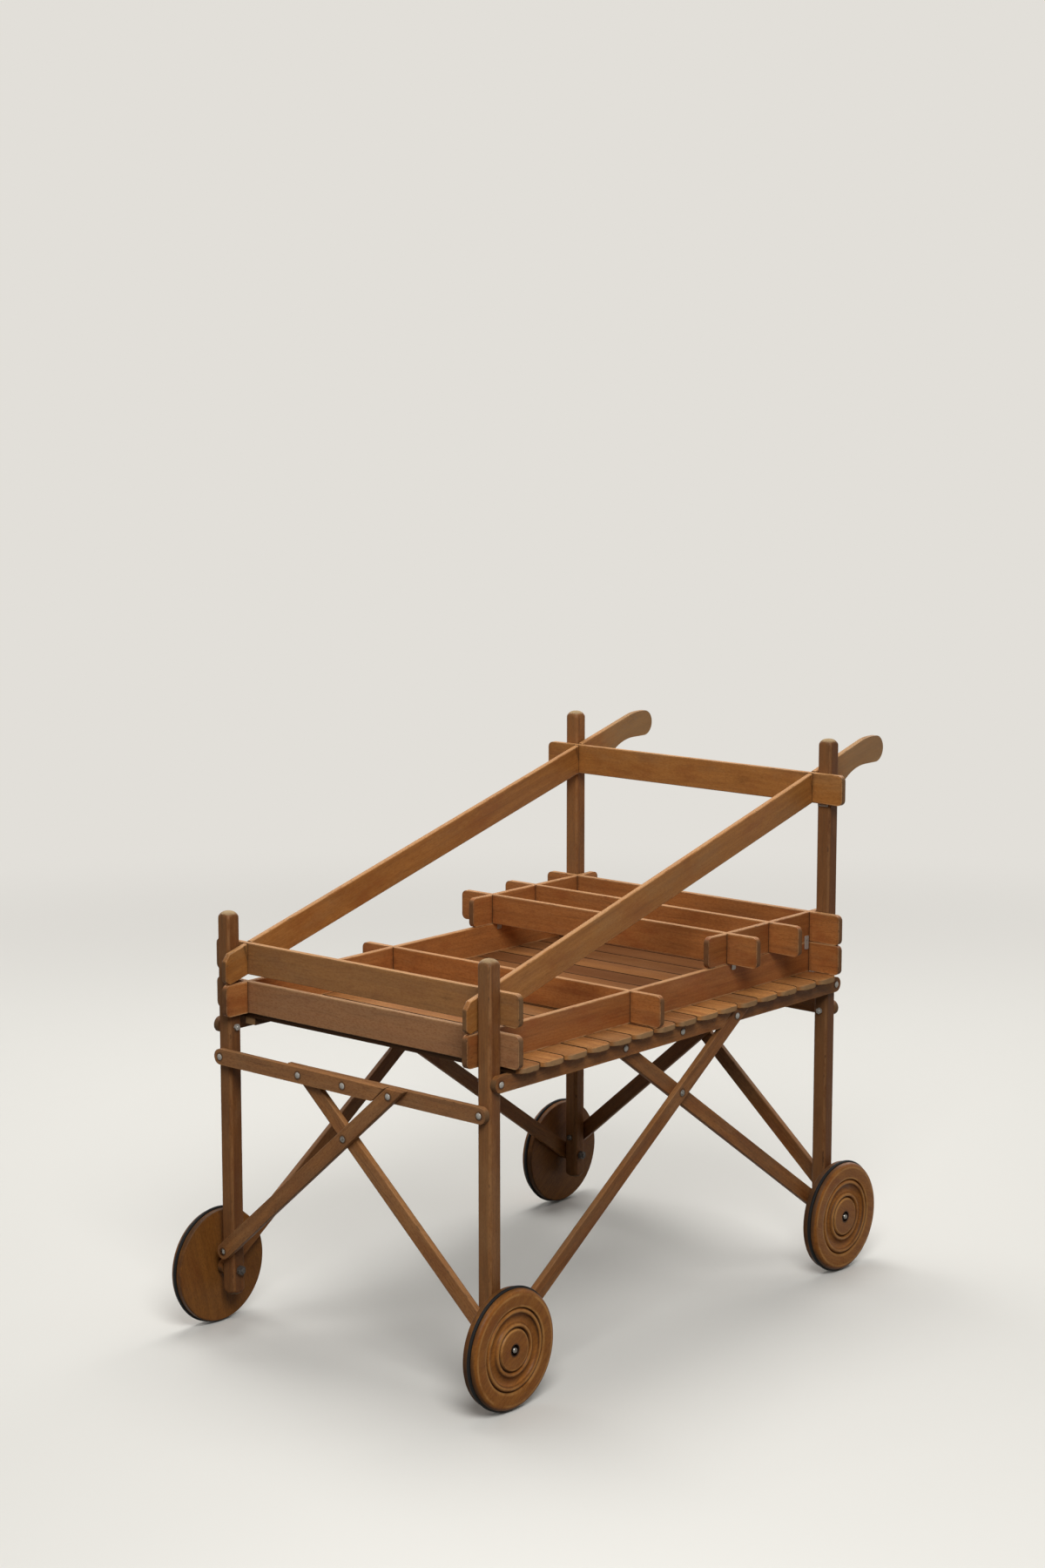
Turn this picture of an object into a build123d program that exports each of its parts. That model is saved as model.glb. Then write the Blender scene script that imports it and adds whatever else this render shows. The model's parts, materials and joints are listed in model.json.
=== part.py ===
from build123d import *
import os
from math import atan2, cos, degrees, radians, sin, sqrt, tan

# Wooden folding wagon, in millimetres.
# Four square posts stand on disc wheels. A crossed linkage of flat bars joins the posts on each side.
# A slatted floor, a tray, a rack and a sloping handle frame are set loose between the posts.
# +X runs towards the handles, +Z is up and the ground is at Z = 0.
# Left is the -Y side and right the +Y side, as seen from behind the handles.

# Wheels
wheel_diameter = 180.0
wheel_width = 24.0
wheel_bore = 8.1
rim_round = 7.0
back_edge = 2.0
ring_width = 6.4
ring_proud = 2.8
ring_depth = 3.0
ring_edge = 1.8
ring_fit = 0.1
hub_recess_diameter = 16.0
hub_recess_depth = 6.0

# Turned face of a wheel, from the hub to the rim.
# Columns: radius as a share of the wood's radius, depth below the outer plane.
wheel_face = [
    (0.342, 1.6),
    (0.369, 5.4),
    (0.396, 2.0),
    (0.445, 2.4),
    (0.461, 4.6),
    (0.500, 5.4),
    (0.556, 4.6),
    (0.614, 2.4),
    (0.668, 2.0),
    (0.684, 4.0),
    (0.704, 1.9),
]
rim_depth = 1.2

# Frame
wheelbase = 820.0
track = 516.0
post_size = 25.0
post_edge = 3.5
post_end_diameter = 32.0
post_end_height = 9.0
post_end_width = 8.0
post_foot_z = 50.0
front_post_top = 645.0
rear_post_top = 863.0

# Flat bars of the linkages
bar_height = 24.0
bar_thickness = 9.5
bar_corner = 3.0
layer_gap = 0.2
seat_gap = 0.3
butt_gap = 0.5
end_bar_z = 425.0
side_bar_z = 469.0
end_bolt_offset = 91.5
side_bolt_offset = 135.0
end_foot_z = 121.5

# Bolts and axles
bolt_diameter = 5.0
bolt_hole = 5.6
bolt_head = 11.0
bolt_head_height = 2.5
bolt_head_top = 6.4
nut_across = 9.0
nut_height = 4.0
axle_diameter = 8.0
axle_hole = 8.4
axle_head = 11.0
axle_head_height = 6.5
axle_head_edge = 2.0
axle_washer = 18.0
axle_washer_thickness = 2.5
axle_nut = 13.0
axle_nut_height = 6.5
axle_end = 2.0

# Loose boards
board_height = 48.0
board_thickness = 9.0
board_corner = 9.0
post_clearance = 2.5
side_tail = 30.0
cross_tail = 42.0
lap_gap = 0.3
stack_gap = 0.3
divider_x = -70.0

# Floor
slat_count = 15
slat_gap = 2.0
slat_thickness = 8.0
slat_corner = 6.0
slat_end_clearance = 11.5
batten_width = 22.0
batten_height = 12.0
batten_inset = 8.0

# Rack on the tray
rack_front_x = 118.0
rack_cross_x = (170.0, 280.0)
plate_width = 10.0
plate_height = 22.0
plate_thickness = 1.2
plate_inset = 3.0
plate_fit = 0.2

# Handle frame: places along X are counted from the rear posts, sinks from the line of the rail's top edge
rail_angle = 15.2
rail_depth = 46.0
rail_end_cut = 9.0
grip_radius = 21.5
grip_reach = 157.0
grip_sink = 28.5
grip_flat = 11.0
neck_reach = 127.0
root_reach = 66.0

# Steel strips on the rear posts that carry the handle frame
rest_thickness = 2.0
rest_height = 4.5

# Places that follow from the sizes
axle_z = wheel_diameter / 2
wood_radius = wheel_diameter / 2 - ring_proud
post_x = wheelbase / 2
post_y = track / 2
half_side = post_x + side_tail
half_cross = post_y + cross_tail
cross_x = post_x - post_size / 2 - post_clearance - board_thickness / 2
board_y = post_y - post_size / 2 - post_clearance - board_thickness / 2
handle_rear_x = post_x - post_size / 2 - seat_gap - board_thickness / 2
floor_bottom = side_bar_z + bar_height / 2 + seat_gap
floor_top = floor_bottom + slat_thickness
tray_bottom = floor_top + stack_gap
tray_top = tray_bottom + board_height
rack_bottom = tray_top + stack_gap
rail_slope = tan(radians(rail_angle))
rail_drop = rail_depth / cos(radians(rail_angle))
rail_seat_x = -half_side + rail_end_cut
wheel_inner_y = post_y + post_size / 2 + seat_gap + bar_thickness + seat_gap + axle_washer_thickness
grip_x = post_x + grip_reach
middle_x = (grip_x + grip_radius - post_x - wheel_diameter / 2) / 2


def save(name, *solids):
    moved = [Pos(-middle_x, 0, 0) * solid for solid in solids]
    export_step(moved[0] if len(moved) == 1 else Compound(moved), f"parts/{name}.step")


def rail_bottom(x):
    return tray_top + stack_gap + rail_slope * (x - rail_seat_x)


def rail_top(x):
    return rail_bottom(x) + rail_drop


# Posts: square with flattened edges and ends turned down to a blunt point
def make_post(top):
    length = top - post_foot_z
    square = chamfer(Rectangle(post_size, post_size).vertices(), post_edge)
    shaft = extrude(square, amount=length)
    radius = post_end_diameter / 2
    tip = radius - post_end_width
    outline = Polyline(
        (0, 0),
        (tip, 0),
        (radius, post_end_height),
        (radius, length - post_end_height),
        (tip, length),
        (0, length),
        close=True,
    )
    bullet = revolve(Plane.XZ * make_face(outline), Axis.Z)
    post = Pos(0, 0, post_foot_z) * (shaft & bullet)
    along_x = Rot(0, 90, 0) * Cylinder(bolt_hole / 2, 2 * post_size)
    along_y = Rot(90, 0, 0) * Cylinder(bolt_hole / 2, 2 * post_size)
    axle = Rot(90, 0, 0) * Cylinder(axle_hole / 2, 2 * post_size)
    post -= Pos(0, 0, end_bar_z) * along_x
    post -= Pos(0, 0, end_foot_z) * along_x
    post -= Pos(0, 0, side_bar_z) * along_y
    return post - Pos(0, 0, axle_z) * axle


post_places = []
for end, sign_x, top in (("front", -1, front_post_top), ("rear", 1, rear_post_top)):
    for side, sign_y in (("left", -1), ("right", 1)):
        post_places.append((f"{end}_{side}", sign_x, sign_y, top))


# Wheels: a disc with a turned face, a recess for the axle's head and a rubber ring let into the rim
def make_wheel():
    half = wheel_width / 2
    groove = ring_width / 2 + ring_fit
    groove_r = wood_radius - ring_depth - ring_fit
    front_round = min(rim_round, half - rim_depth - groove)
    rim_start = (wood_radius - front_round, half - rim_depth)
    rim_side = (wood_radius, half - rim_depth - front_round)
    recess_r = hub_recess_diameter / 2
    face = [(share * wood_radius, half - depth) for share, depth in wheel_face]
    front = Polyline(
        (wheel_bore / 2, half - hub_recess_depth),
        (recess_r, half - hub_recess_depth),
        (recess_r, face[0][1]),
        *face,
        rim_start,
    )
    rim = TangentArc(rim_start, rim_side, tangent=(1, 0))
    back = Polyline(
        rim_side,
        (wood_radius, groove),
        (groove_r, groove),
        (groove_r, -groove),
        (wood_radius, -groove),
        (wood_radius, -half + back_edge),
        (wood_radius - back_edge, -half),
        (wheel_bore / 2, -half),
        (wheel_bore / 2, half - hub_recess_depth),
    )
    section = make_face([*front.edges(), rim, *back.edges()])
    return revolve(Plane.XZ * section, Axis.Z)


def make_ring():
    outer = wheel_diameter / 2
    inner = wood_radius - ring_depth
    ring = Cylinder(outer, ring_width) - Cylinder(inner, 2 * ring_width)
    rim = ring.edges().filter_by(GeomType.CIRCLE).sort_by(SortBy.RADIUS)[-2:]
    return chamfer(rim, min(ring_edge, ring_width / 3))


# Axle: a round head in the wheel's recess, a washer behind the wheel and a nut inside the post
def make_axle():
    head_z = wheel_inner_y + wheel_width - hub_recess_depth + seat_gap
    post_inner_y = post_y - post_size / 2
    end_z = post_inner_y - seat_gap - axle_nut_height - axle_end
    shank = Pos(0, 0, (head_z + end_z) / 2) * Cylinder(axle_diameter / 2, head_z - end_z)
    head = Cylinder(axle_head / 2, axle_head_height, align=(Align.CENTER, Align.CENTER, Align.MIN))
    head = chamfer(head.edges().filter_by(GeomType.CIRCLE).sort_by(Axis.Z)[-1], axle_head_edge)
    washer_z = wheel_inner_y - (seat_gap + axle_washer_thickness) / 2
    washer = Pos(0, 0, washer_z) * Cylinder(axle_washer / 2, axle_washer_thickness)
    nut_z = post_inner_y - seat_gap - axle_nut_height / 2
    nut = extrude(RegularPolygon(axle_nut / 2, 6, major_radius=False), amount=axle_nut_height / 2, both=True)
    return shank + Pos(0, 0, head_z) * head + washer + Pos(0, 0, nut_z) * nut


# Bolt: head face at Z = 0, nut face at Z = -grip
def make_bolt(grip):
    shank = Cylinder(bolt_diameter / 2, grip + nut_height, align=(Align.CENTER, Align.CENTER, Align.MAX))
    head = Cone(bolt_head / 2, bolt_head_top / 2, bolt_head_height, align=(Align.CENTER, Align.CENTER, Align.MIN))
    nut = Pos(0, 0, -grip) * extrude(RegularPolygon(nut_across / 2, 6, major_radius=False), amount=-nut_height)
    return shank + head + nut


# Crossed linkage of one side, drawn in its own plane: X to the right seen from outside, Y up, Z outwards.
# The outer layer belongs to the post on the left, the inner layer to the post on the right.
def linkage_shapes(span, bar_z, offset, foot_z):
    slope = atan2(bar_z - foot_z, span / 2 + offset)
    half = bar_height / 2
    post = -span / 2
    top = bar_z + half
    low = bar_z - half

    def beside_brace(z, shift):
        return offset + (z - bar_z - shift * cos(slope)) / tan(slope) - shift * sin(slope)

    reach = half + butt_gap
    bar_edges = [
        Line((post, low), (beside_brace(low, reach), low)),
        Line((beside_brace(low, reach), low), (beside_brace(top, reach), top)),
        Line((beside_brace(top, reach), top), (post, top)),
        ThreePointArc((post, top), (post - half, bar_z), (post, low)),
    ]
    bar = make_face(bar_edges)
    tip = bar.vertices().sort_by_distance((beside_brace(low, reach), low))[0]
    bar = fillet(tip, bar_corner)
    along = Vector(cos(slope), sin(slope))
    across = Vector(-sin(slope), cos(slope))
    foot = Vector(post, foot_z)
    brace_edges = [
        Line(foot - across * half, (beside_brace(top, -half), top)),
        Line((beside_brace(top, -half), top), (beside_brace(top, half), top)),
        Line((beside_brace(top, half), top), foot + across * half),
        ThreePointArc(foot + across * half, foot - along * half, foot - across * half),
    ]
    brace = make_face(brace_edges)
    cross_z = foot_z + (span / 2) * tan(slope)
    return bar, brace, cross_z


# Columns: side, direction it faces in degrees, post on its left, post on its right,
# span, distance of the post faces, bar height, bolt offset, brace foot height
linkages = [
    ("front", 180, "right", "left", track, post_x + post_size / 2, end_bar_z, end_bolt_offset, end_foot_z),
    ("left", -90, "front", "rear", wheelbase, post_y + post_size / 2, side_bar_z, side_bolt_offset, axle_z),
    ("rear", 0, "left", "right", track, post_x + post_size / 2, end_bar_z, end_bolt_offset, end_foot_z),
    ("right", 90, "rear", "front", wheelbase, post_y + post_size / 2, side_bar_z, side_bolt_offset, axle_z),
]


def make_linkage(side, facing, first, second, span, face, bar_z, offset, foot_z):
    bar, brace, cross_z = linkage_shapes(span, bar_z, offset, foot_z)
    turn = degrees(atan2(bar_thickness, span))
    outward = Vector(1, 0, 0).rotate(Axis.Z, facing)
    along = Vector(0, 1, 0).rotate(Axis.Z, facing)
    centre = outward * (face + seat_gap + bar_thickness / 2)
    layers = Plane(
        origin=centre,
        x_dir=along.rotate(Axis.Z, -turn),
        z_dir=outward.rotate(Axis.Z, -turn),
    )
    on_axle = foot_z == axle_z
    foot_hole = axle_hole if on_axle else bolt_hole
    holes = [
        (-span / 2, bar_z, bolt_hole),
        (-offset, bar_z, bolt_hole),
        (0, bar_z, bolt_hole),
        (offset, bar_z, bolt_hole),
        (0, cross_z, bolt_hole),
        (-span / 2, foot_z, foot_hole),
    ]
    skin = layer_gap / 2
    for shape, kind in ((bar, "bar"), (brace, "brace")):
        outer = Pos(0, 0, skin) * extrude(shape, amount=bar_thickness - skin)
        for x, y, size in holes:
            if shape.distance_to(Vertex(x, y, 0)) < layer_gap:
                outer -= Pos(x, y, 0) * Cylinder(size / 2, 4 * bar_thickness)
        inner = Rot(0, 180, 0) * outer
        save(f"{kind}_{side}_{first}", layers.location * outer)
        save(f"{kind}_{side}_{second}", layers.location * inner)
    bolts = []
    grip = 2 * bar_thickness + layer_gap
    for x, y in ((-offset, bar_z), (0, bar_z), (offset, bar_z), (0, cross_z)):
        bolts.append(layers.location * Pos(x, y, grip / 2) * make_bolt(grip))
    save(f"bolts_{side}", *bolts)
    square = Plane(origin=outward * face, x_dir=along, z_dir=outward)
    post_bolts = [(-span / 2, bar_z), (span / 2, bar_z)]
    if not on_axle:
        post_bolts += [(-span / 2, foot_z), (span / 2, foot_z)]
    reach = seat_gap + bar_thickness + seat_gap
    pivots = []
    for x, y in post_bolts:
        pivots.append(square.location * Pos(x, y, reach) * make_bolt(reach + post_size + seat_gap))
    save(f"pivots_{side}", *pivots)


# Upright board along X with rounded corners, centred on Y
def board_along_x(x_from, x_to, bottom, y):
    length = x_to - x_from
    face = Pos((x_from + x_to) / 2, bottom + board_height / 2) * RectangleRounded(length, board_height, board_corner)
    return Pos(0, y, 0) * extrude(Plane.XZ * face, amount=board_thickness / 2, both=True)


# Upright board along Y with rounded corners, centred on X
def board_along_y(length, bottom, x):
    face = Pos(0, bottom + board_height / 2) * RectangleRounded(length, board_height, board_corner)
    return Pos(x, 0, 0) * extrude(Plane.YZ * face, amount=board_thickness / 2, both=True)


# Half-lap slots: boards along X are open upwards, boards along Y downwards
def slot_up(board, x, middle):
    size = board_thickness + 2 * lap_gap
    cut = Box(size, 4 * board_thickness, 2 * board_height, align=(Align.CENTER, Align.CENTER, Align.MIN))
    y = board.bounding_box().center().Y
    return board - Pos(x, y, middle - lap_gap / 2) * cut


def slot_down(board, y, middle):
    size = board_thickness + 2 * lap_gap
    cut = Box(4 * board_thickness, size, 2 * board_height, align=(Align.CENTER, Align.CENTER, Align.MAX))
    x = board.bounding_box().center().X
    return board - Pos(x, y, middle + lap_gap / 2) * cut


def lapped_side(x_from, x_to, bottom, y, crossings):
    board = board_along_x(x_from, x_to, bottom, y)
    for x in crossings:
        board = slot_up(board, x, bottom + board_height / 2)
    return board


def lapped_cross(bottom, x):
    board = board_along_y(2 * half_cross, bottom, x)
    for y in (-board_y, board_y):
        board = slot_down(board, y, bottom + board_height / 2)
    return board


# Handle rail: a sloping board whose rear end is sawn to a round grip
def make_rail(y):
    front = -half_side
    slope = radians(rail_angle)
    root_x = post_x + root_reach
    grip = Vector(grip_x, rail_top(grip_x) - grip_sink)
    crown = grip + Vector(0, grip_radius)
    heel = grip - Vector(0, grip_radius)
    corner_x = grip_x - (grip_sink - grip_radius) / rail_slope
    level = crown - Vector(grip_flat, 0)
    bend_x = corner_x - (level.X - corner_x) * cos(slope)
    bend = (bend_x, rail_top(bend_x))
    root = (root_x, rail_bottom(root_x))
    neck = Vector(post_x + neck_reach, heel.Y)
    top_start = (rail_seat_x, rail_top(rail_seat_x))
    low_start = (rail_seat_x, rail_bottom(rail_seat_x))
    top_cut = (front, rail_top(front) - rail_end_cut)
    low_cut = (front, rail_bottom(front) + rail_end_cut)
    edges = [
        Line(top_start, bend),
        TangentArc(bend, level, tangent=(cos(slope), sin(slope))),
        Line(level, crown),
        ThreePointArc(crown, grip + Vector(grip_radius, 0), heel),
        Line(heel, neck),
        TangentArc(neck, root, tangent=(-1, 0)),
        Line(root, low_start),
        Line(low_start, low_cut),
        Line(low_cut, top_cut),
        Line(top_cut, top_start),
    ]
    face = make_face(edges)
    rail = Pos(0, y, 0) * extrude(Plane.XZ * face, amount=board_thickness / 2, both=True)
    for x in (-cross_x, handle_rear_x):
        rail = slot_up(rail, x, rail_top(x) - board_height / 2)
    return rail


# Strips across the rear posts' inner faces, just under the rear cross board of the handle frame
def make_rests():
    top = rail_top(handle_rear_x) - board_height - stack_gap
    x = post_x - post_size / 2 - rest_thickness / 2
    rests = []
    for y in (-post_y, post_y):
        strip = Box(rest_thickness, post_size - 2 * post_edge, rest_height)
        rests.append(Pos(x, y, top - rest_height / 2) * strip)
    return rests


# Floor: slats resting on the side bars, held by two battens below
floor_length = 2 * (post_x - slat_end_clearance) - post_size


def make_slats():
    pitch = (floor_length + slat_gap) / slat_count
    slats = []
    for i in range(slat_count):
        x = -floor_length / 2 + pitch * (i + 0.5) - slat_gap / 2
        face = RectangleRounded(pitch - slat_gap, 2 * half_cross, slat_corner)
        slats.append(Pos(x, 0, floor_bottom) * extrude(face, amount=slat_thickness))
    return slats


def make_battens():
    y = post_y - batten_inset - batten_width / 2
    battens = []
    for sign in (-1, 1):
        batten = Box(floor_length, batten_width, batten_height, align=(Align.CENTER, Align.CENTER, Align.MAX))
        battens.append(Pos(0, sign * y, floor_bottom) * batten)
    return battens


# Metal plates screwed to the rack that keep it on the tray
def make_plates():
    inset = board_thickness / 2 + plate_width / 2 + plate_inset
    plates = []
    for x in (rack_cross_x[0] + inset, cross_x - inset):
        for sign_y in (-1, 1):
            for face in (-1, 1):
                y = sign_y * board_y + face * (board_thickness / 2 + plate_fit + plate_thickness / 2)
                plates.append(Pos(x, y, tray_top) * Box(plate_width, plate_thickness, plate_height))
    return plates


os.makedirs("parts", exist_ok=True)

wheel = make_wheel()
ring = make_ring()
axle = make_axle()
for name, sign_x, sign_y, top in post_places:
    save(f"post_{name}", Pos(sign_x * post_x, sign_y * post_y, 0) * make_post(top))
    outwards = Rot(-90 * sign_y, 0, 0)
    hub = Pos(sign_x * post_x, sign_y * (wheel_inner_y + wheel_width / 2), axle_z) * outwards
    save(f"wheel_{name}", hub * wheel)
    save(f"ring_{name}", hub * ring)
    save(f"axle_{name}", Pos(sign_x * post_x, 0, axle_z) * outwards * axle)

for row in linkages:
    make_linkage(*row)

save("floor_slats", *make_slats())
save("floor_battens", *make_battens())

for side, y in (("left", -board_y), ("right", board_y)):
    tray_side = lapped_side(-half_side, half_side, tray_bottom, y, (-cross_x, divider_x, cross_x))
    save(f"tray_side_{side}", tray_side)
    rack_side = lapped_side(rack_front_x, half_side, rack_bottom, y, (*rack_cross_x, cross_x))
    save(f"rack_side_{side}", rack_side)
    save(f"handle_rail_{side}", make_rail(y))
save("tray_front", lapped_cross(tray_bottom, -cross_x))
save("tray_rear", lapped_cross(tray_bottom, cross_x))
save("tray_divider", lapped_cross(tray_bottom, divider_x))
save("rack_front", lapped_cross(rack_bottom, rack_cross_x[0]))
save("rack_middle", lapped_cross(rack_bottom, rack_cross_x[1]))
save("rack_rear", lapped_cross(rack_bottom, cross_x))
save("rack_plates", *make_plates())
save("handle_cross_front", lapped_cross(rail_top(-cross_x) - board_height, -cross_x))
save("handle_cross_rear", lapped_cross(rail_top(handle_rear_x) - board_height, handle_rear_x))
save("handle_rests", *make_rests())
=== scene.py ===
import json
import math
import random

import bmesh
import bpy
from mathutils import Matrix, Vector


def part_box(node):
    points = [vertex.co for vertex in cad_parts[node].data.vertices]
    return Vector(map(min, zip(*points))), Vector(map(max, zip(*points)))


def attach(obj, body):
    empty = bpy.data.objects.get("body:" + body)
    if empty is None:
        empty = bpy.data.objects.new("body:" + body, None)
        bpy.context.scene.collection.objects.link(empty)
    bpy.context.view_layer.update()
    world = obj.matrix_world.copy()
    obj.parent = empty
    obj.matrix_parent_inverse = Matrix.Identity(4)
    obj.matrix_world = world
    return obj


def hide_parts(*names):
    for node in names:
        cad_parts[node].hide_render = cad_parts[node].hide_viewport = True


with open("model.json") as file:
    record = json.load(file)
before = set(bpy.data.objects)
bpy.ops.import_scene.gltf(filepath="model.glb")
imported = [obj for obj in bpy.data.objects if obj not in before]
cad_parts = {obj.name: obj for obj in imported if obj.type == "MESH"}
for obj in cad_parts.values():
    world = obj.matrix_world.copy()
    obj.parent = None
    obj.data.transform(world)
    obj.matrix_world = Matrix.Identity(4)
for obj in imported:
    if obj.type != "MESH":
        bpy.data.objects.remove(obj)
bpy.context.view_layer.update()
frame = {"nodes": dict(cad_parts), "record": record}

# Wooden folding wagon, in metres; sizes in the dictionaries are in millimetres.
# +X runs towards the handles, +Z is up, and the wagon stands on Z = 0.
mm = 0.001
cadNodes = frame["nodes"]
bodyOf = {}
for body, members in frame["record"]["behaviour"]["bodies"].items():
    for member in members:
        bodyOf[member] = body
slotOf = {row["node"]: row["material_slot"] for row in frame["record"]["subparts"]}
print("wagon: frame loaded,", len(cadNodes), "nodes")


# A socket in sums and products: each operator adds one Math node
class Wire:
    def __init__(self, sheet, socket):
        self.sheet = sheet
        self.socket = socket

    def math(self, operation, *others):
        return self.sheet.node("ShaderNodeMath", {"operation": operation}, (self, *others))

    def reflected(self, operation, other):
        return self.sheet.node("ShaderNodeMath", {"operation": operation}, (other, self))

    def __add__(self, other):
        return self.math("ADD", other)

    def __radd__(self, other):
        return self.reflected("ADD", other)

    def __sub__(self, other):
        return self.math("SUBTRACT", other)

    def __rsub__(self, other):
        return self.reflected("SUBTRACT", other)

    def __mul__(self, other):
        return self.math("MULTIPLY", other)

    def __rmul__(self, other):
        return self.reflected("MULTIPLY", other)

    def __pow__(self, other):
        return self.math("POWER", other)

    def least(self, other):
        return self.math("MINIMUM", other)

    def most(self, other):
        return self.math("MAXIMUM", other)

    def size(self):
        return self.math("ABSOLUTE")

    # 0 below the first limit, 1 above the second, smooth between
    def step(self, low, high):
        return self.sheet.node(
            "ShaderNodeMapRange",
            {"interpolation_type": "SMOOTHSTEP"},
            {"Value": self, "From Min": low, "From Max": high},
        )

    def fade(self, low, high):
        return 1 - self.step(low, high)


# One way to add a node to a material's or a geometry tree
class NodeSheet:
    def __init__(self, tree):
        self.tree = tree

    def node(self, kind, settings=None, values=(), out=0):
        made = self.tree.nodes.new(kind)
        for name, value in (settings or {}).items():
            setattr(made, name, value)
        pairs = values.items() if isinstance(values, dict) else enumerate(values)
        for key, value in pairs:
            if isinstance(value, Wire):
                self.tree.links.new(value.socket, made.inputs[key])
            else:
                made.inputs[key].default_value = value
        return Wire(self, made.outputs[out]) if made.outputs else None

    def vector(self, operation, *values):
        return self.node("ShaderNodeVectorMath", {"operation": operation}, values)

    def join(self, x, y, z):
        return self.node("ShaderNodeCombineXYZ", None, (x, y, z))

    def parts(self, vector):
        first = self.node("ShaderNodeSeparateXYZ", None, (vector,))
        return [Wire(self, socket) for socket in first.socket.node.outputs]

    def mix(self, low, high, factor):
        settings = {"data_type": "RGBA", "blend_type": "MIX", "clamp_factor": True}
        return self.node("ShaderNodeMix", settings, {0: factor, 6: low, 7: high}, 2)

    # Layers of colour over each other, each with its share
    def coats(self, colour, layers):
        for over, share in layers:
            colour = self.mix(colour, over, share)
        return colour

    def noise(self, vector, scale=1.0, detail=2.0, rough=0.5):
        values = {"Vector": vector, "Scale": scale, "Detail": detail, "Roughness": rough}
        return self.node("ShaderNodeTexNoise", None, values)

    def attribute(self, name):
        return self.node("ShaderNodeAttribute", {"attribute_name": name}, (), "Vector")

    def objectPlace(self):
        return self.node("ShaderNodeTexCoord", None, (), "Object")


# A screen colour, 0 to 255, as the linear colour that a socket takes
def paint(red, green, blue):
    channels = []
    for value in (red / 255, green / 255, blue / 255):
        channels.append(value / 12.92 if value <= 0.04045 else ((value + 0.055) / 1.055) ** 2.4)
    return (*channels, 1.0)


def newMaterial(name):
    material = bpy.data.materials.new(name)
    material.use_nodes = True
    material.node_tree.nodes.clear()
    return material, NodeSheet(material.node_tree)


# The shader: height is the relief and depth its size in millimetres
def surface(sheet, colour, roughness, height, depth, **fixed):
    bump = {"Strength": 1.0, "Distance": depth * mm, "Height": height}
    normal = sheet.node("ShaderNodeBump", None, bump)
    values = {"Base Color": colour, "Roughness": roughness, "Normal": normal}
    values.update({name.replace("_", " "): value for name, value in fixed.items()})
    shader = sheet.node("ShaderNodeBsdfPrincipled", None, values)
    sheet.node("ShaderNodeOutputMaterial", None, {"Surface": shader})


# Oiled beech: colours, and the strength of each feature
woodLooks = {
    "boardWood": {
        "light": paint(186, 120, 64), "dark": paint(118, 68, 33), "red": paint(132, 64, 29),
        "grey": paint(122, 94, 66), "end": paint(86, 60, 38), "bareAndHighlight": paint(206, 162, 114),
        "rubbed": 0.05, "spread": 0.34, "age": 0.26, "wearAndHighlight": 0.62,
        "seam": 0.0, "rough": 0.47, "gloss": 0.17, "grainy": 0.78, "streaks": 0.16,
    },
    "handleWood": {
        "light": paint(186, 126, 64), "dark": paint(126, 78, 36), "red": paint(130, 70, 30),
        "grey": paint(130, 104, 74), "end": paint(92, 66, 42), "bareAndHighlight": paint(204, 156, 106),
        "rubbed": 0.05, "spread": 0.26, "age": 0.34, "wearAndHighlight": 0.60,
        "seam": 0.0, "rough": 0.42, "gloss": 0.17, "grainy": 0.76, "streaks": 0.14,
    },
    "frameWood": {
        "light": paint(168, 108, 54), "dark": paint(94, 56, 28), "red": paint(110, 56, 24),
        "grey": paint(116, 90, 64), "end": paint(96, 72, 48), "bareAndHighlight": paint(190, 144, 96),
        "rubbed": 0.20, "spread": 0.42, "age": 0.44, "wearAndHighlight": 0.20,
        "seam": 0.0, "rough": 0.50, "gloss": 0.15, "grainy": 1.0, "streaks": 0.26,
    },
    "floorWood": {
        "light": paint(204, 142, 80), "dark": paint(112, 70, 38), "red": paint(134, 74, 34),
        "grey": paint(128, 102, 74), "end": paint(158, 126, 90), "bareAndHighlight": paint(206, 156, 104),
        "rubbed": 0.05, "spread": 0.70, "age": 0.36, "wearAndHighlight": 0.25,
        "seam": 1.4, "rough": 0.54, "gloss": 0.09, "grainy": 0.8, "streaks": 0.14,
    },
    "wheelWood": {
        "light": paint(190, 124, 54), "dark": paint(98, 52, 18), "red": paint(124, 60, 18),
        "grey": paint(100, 72, 46), "end": paint(92, 62, 38), "bareAndHighlight": paint(214, 158, 92),
        "rubbed": 0.05, "spread": 0.25, "age": 0.18, "wearAndHighlight": 0.0,
        "seam": 0.0, "rough": 0.40, "gloss": 0.13, "grainy": 0.55, "streaks": 0.08,
    },
}
# Dark colour for real stains, nicks and splits, and also for painted shade in gaps, grooves, round bolt
# heads and under the wagon
dirtAndShade = paint(46, 32, 22)
postCap = paint(172, 146, 108)
paintedLightWood = paint(186, 146, 108)
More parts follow.
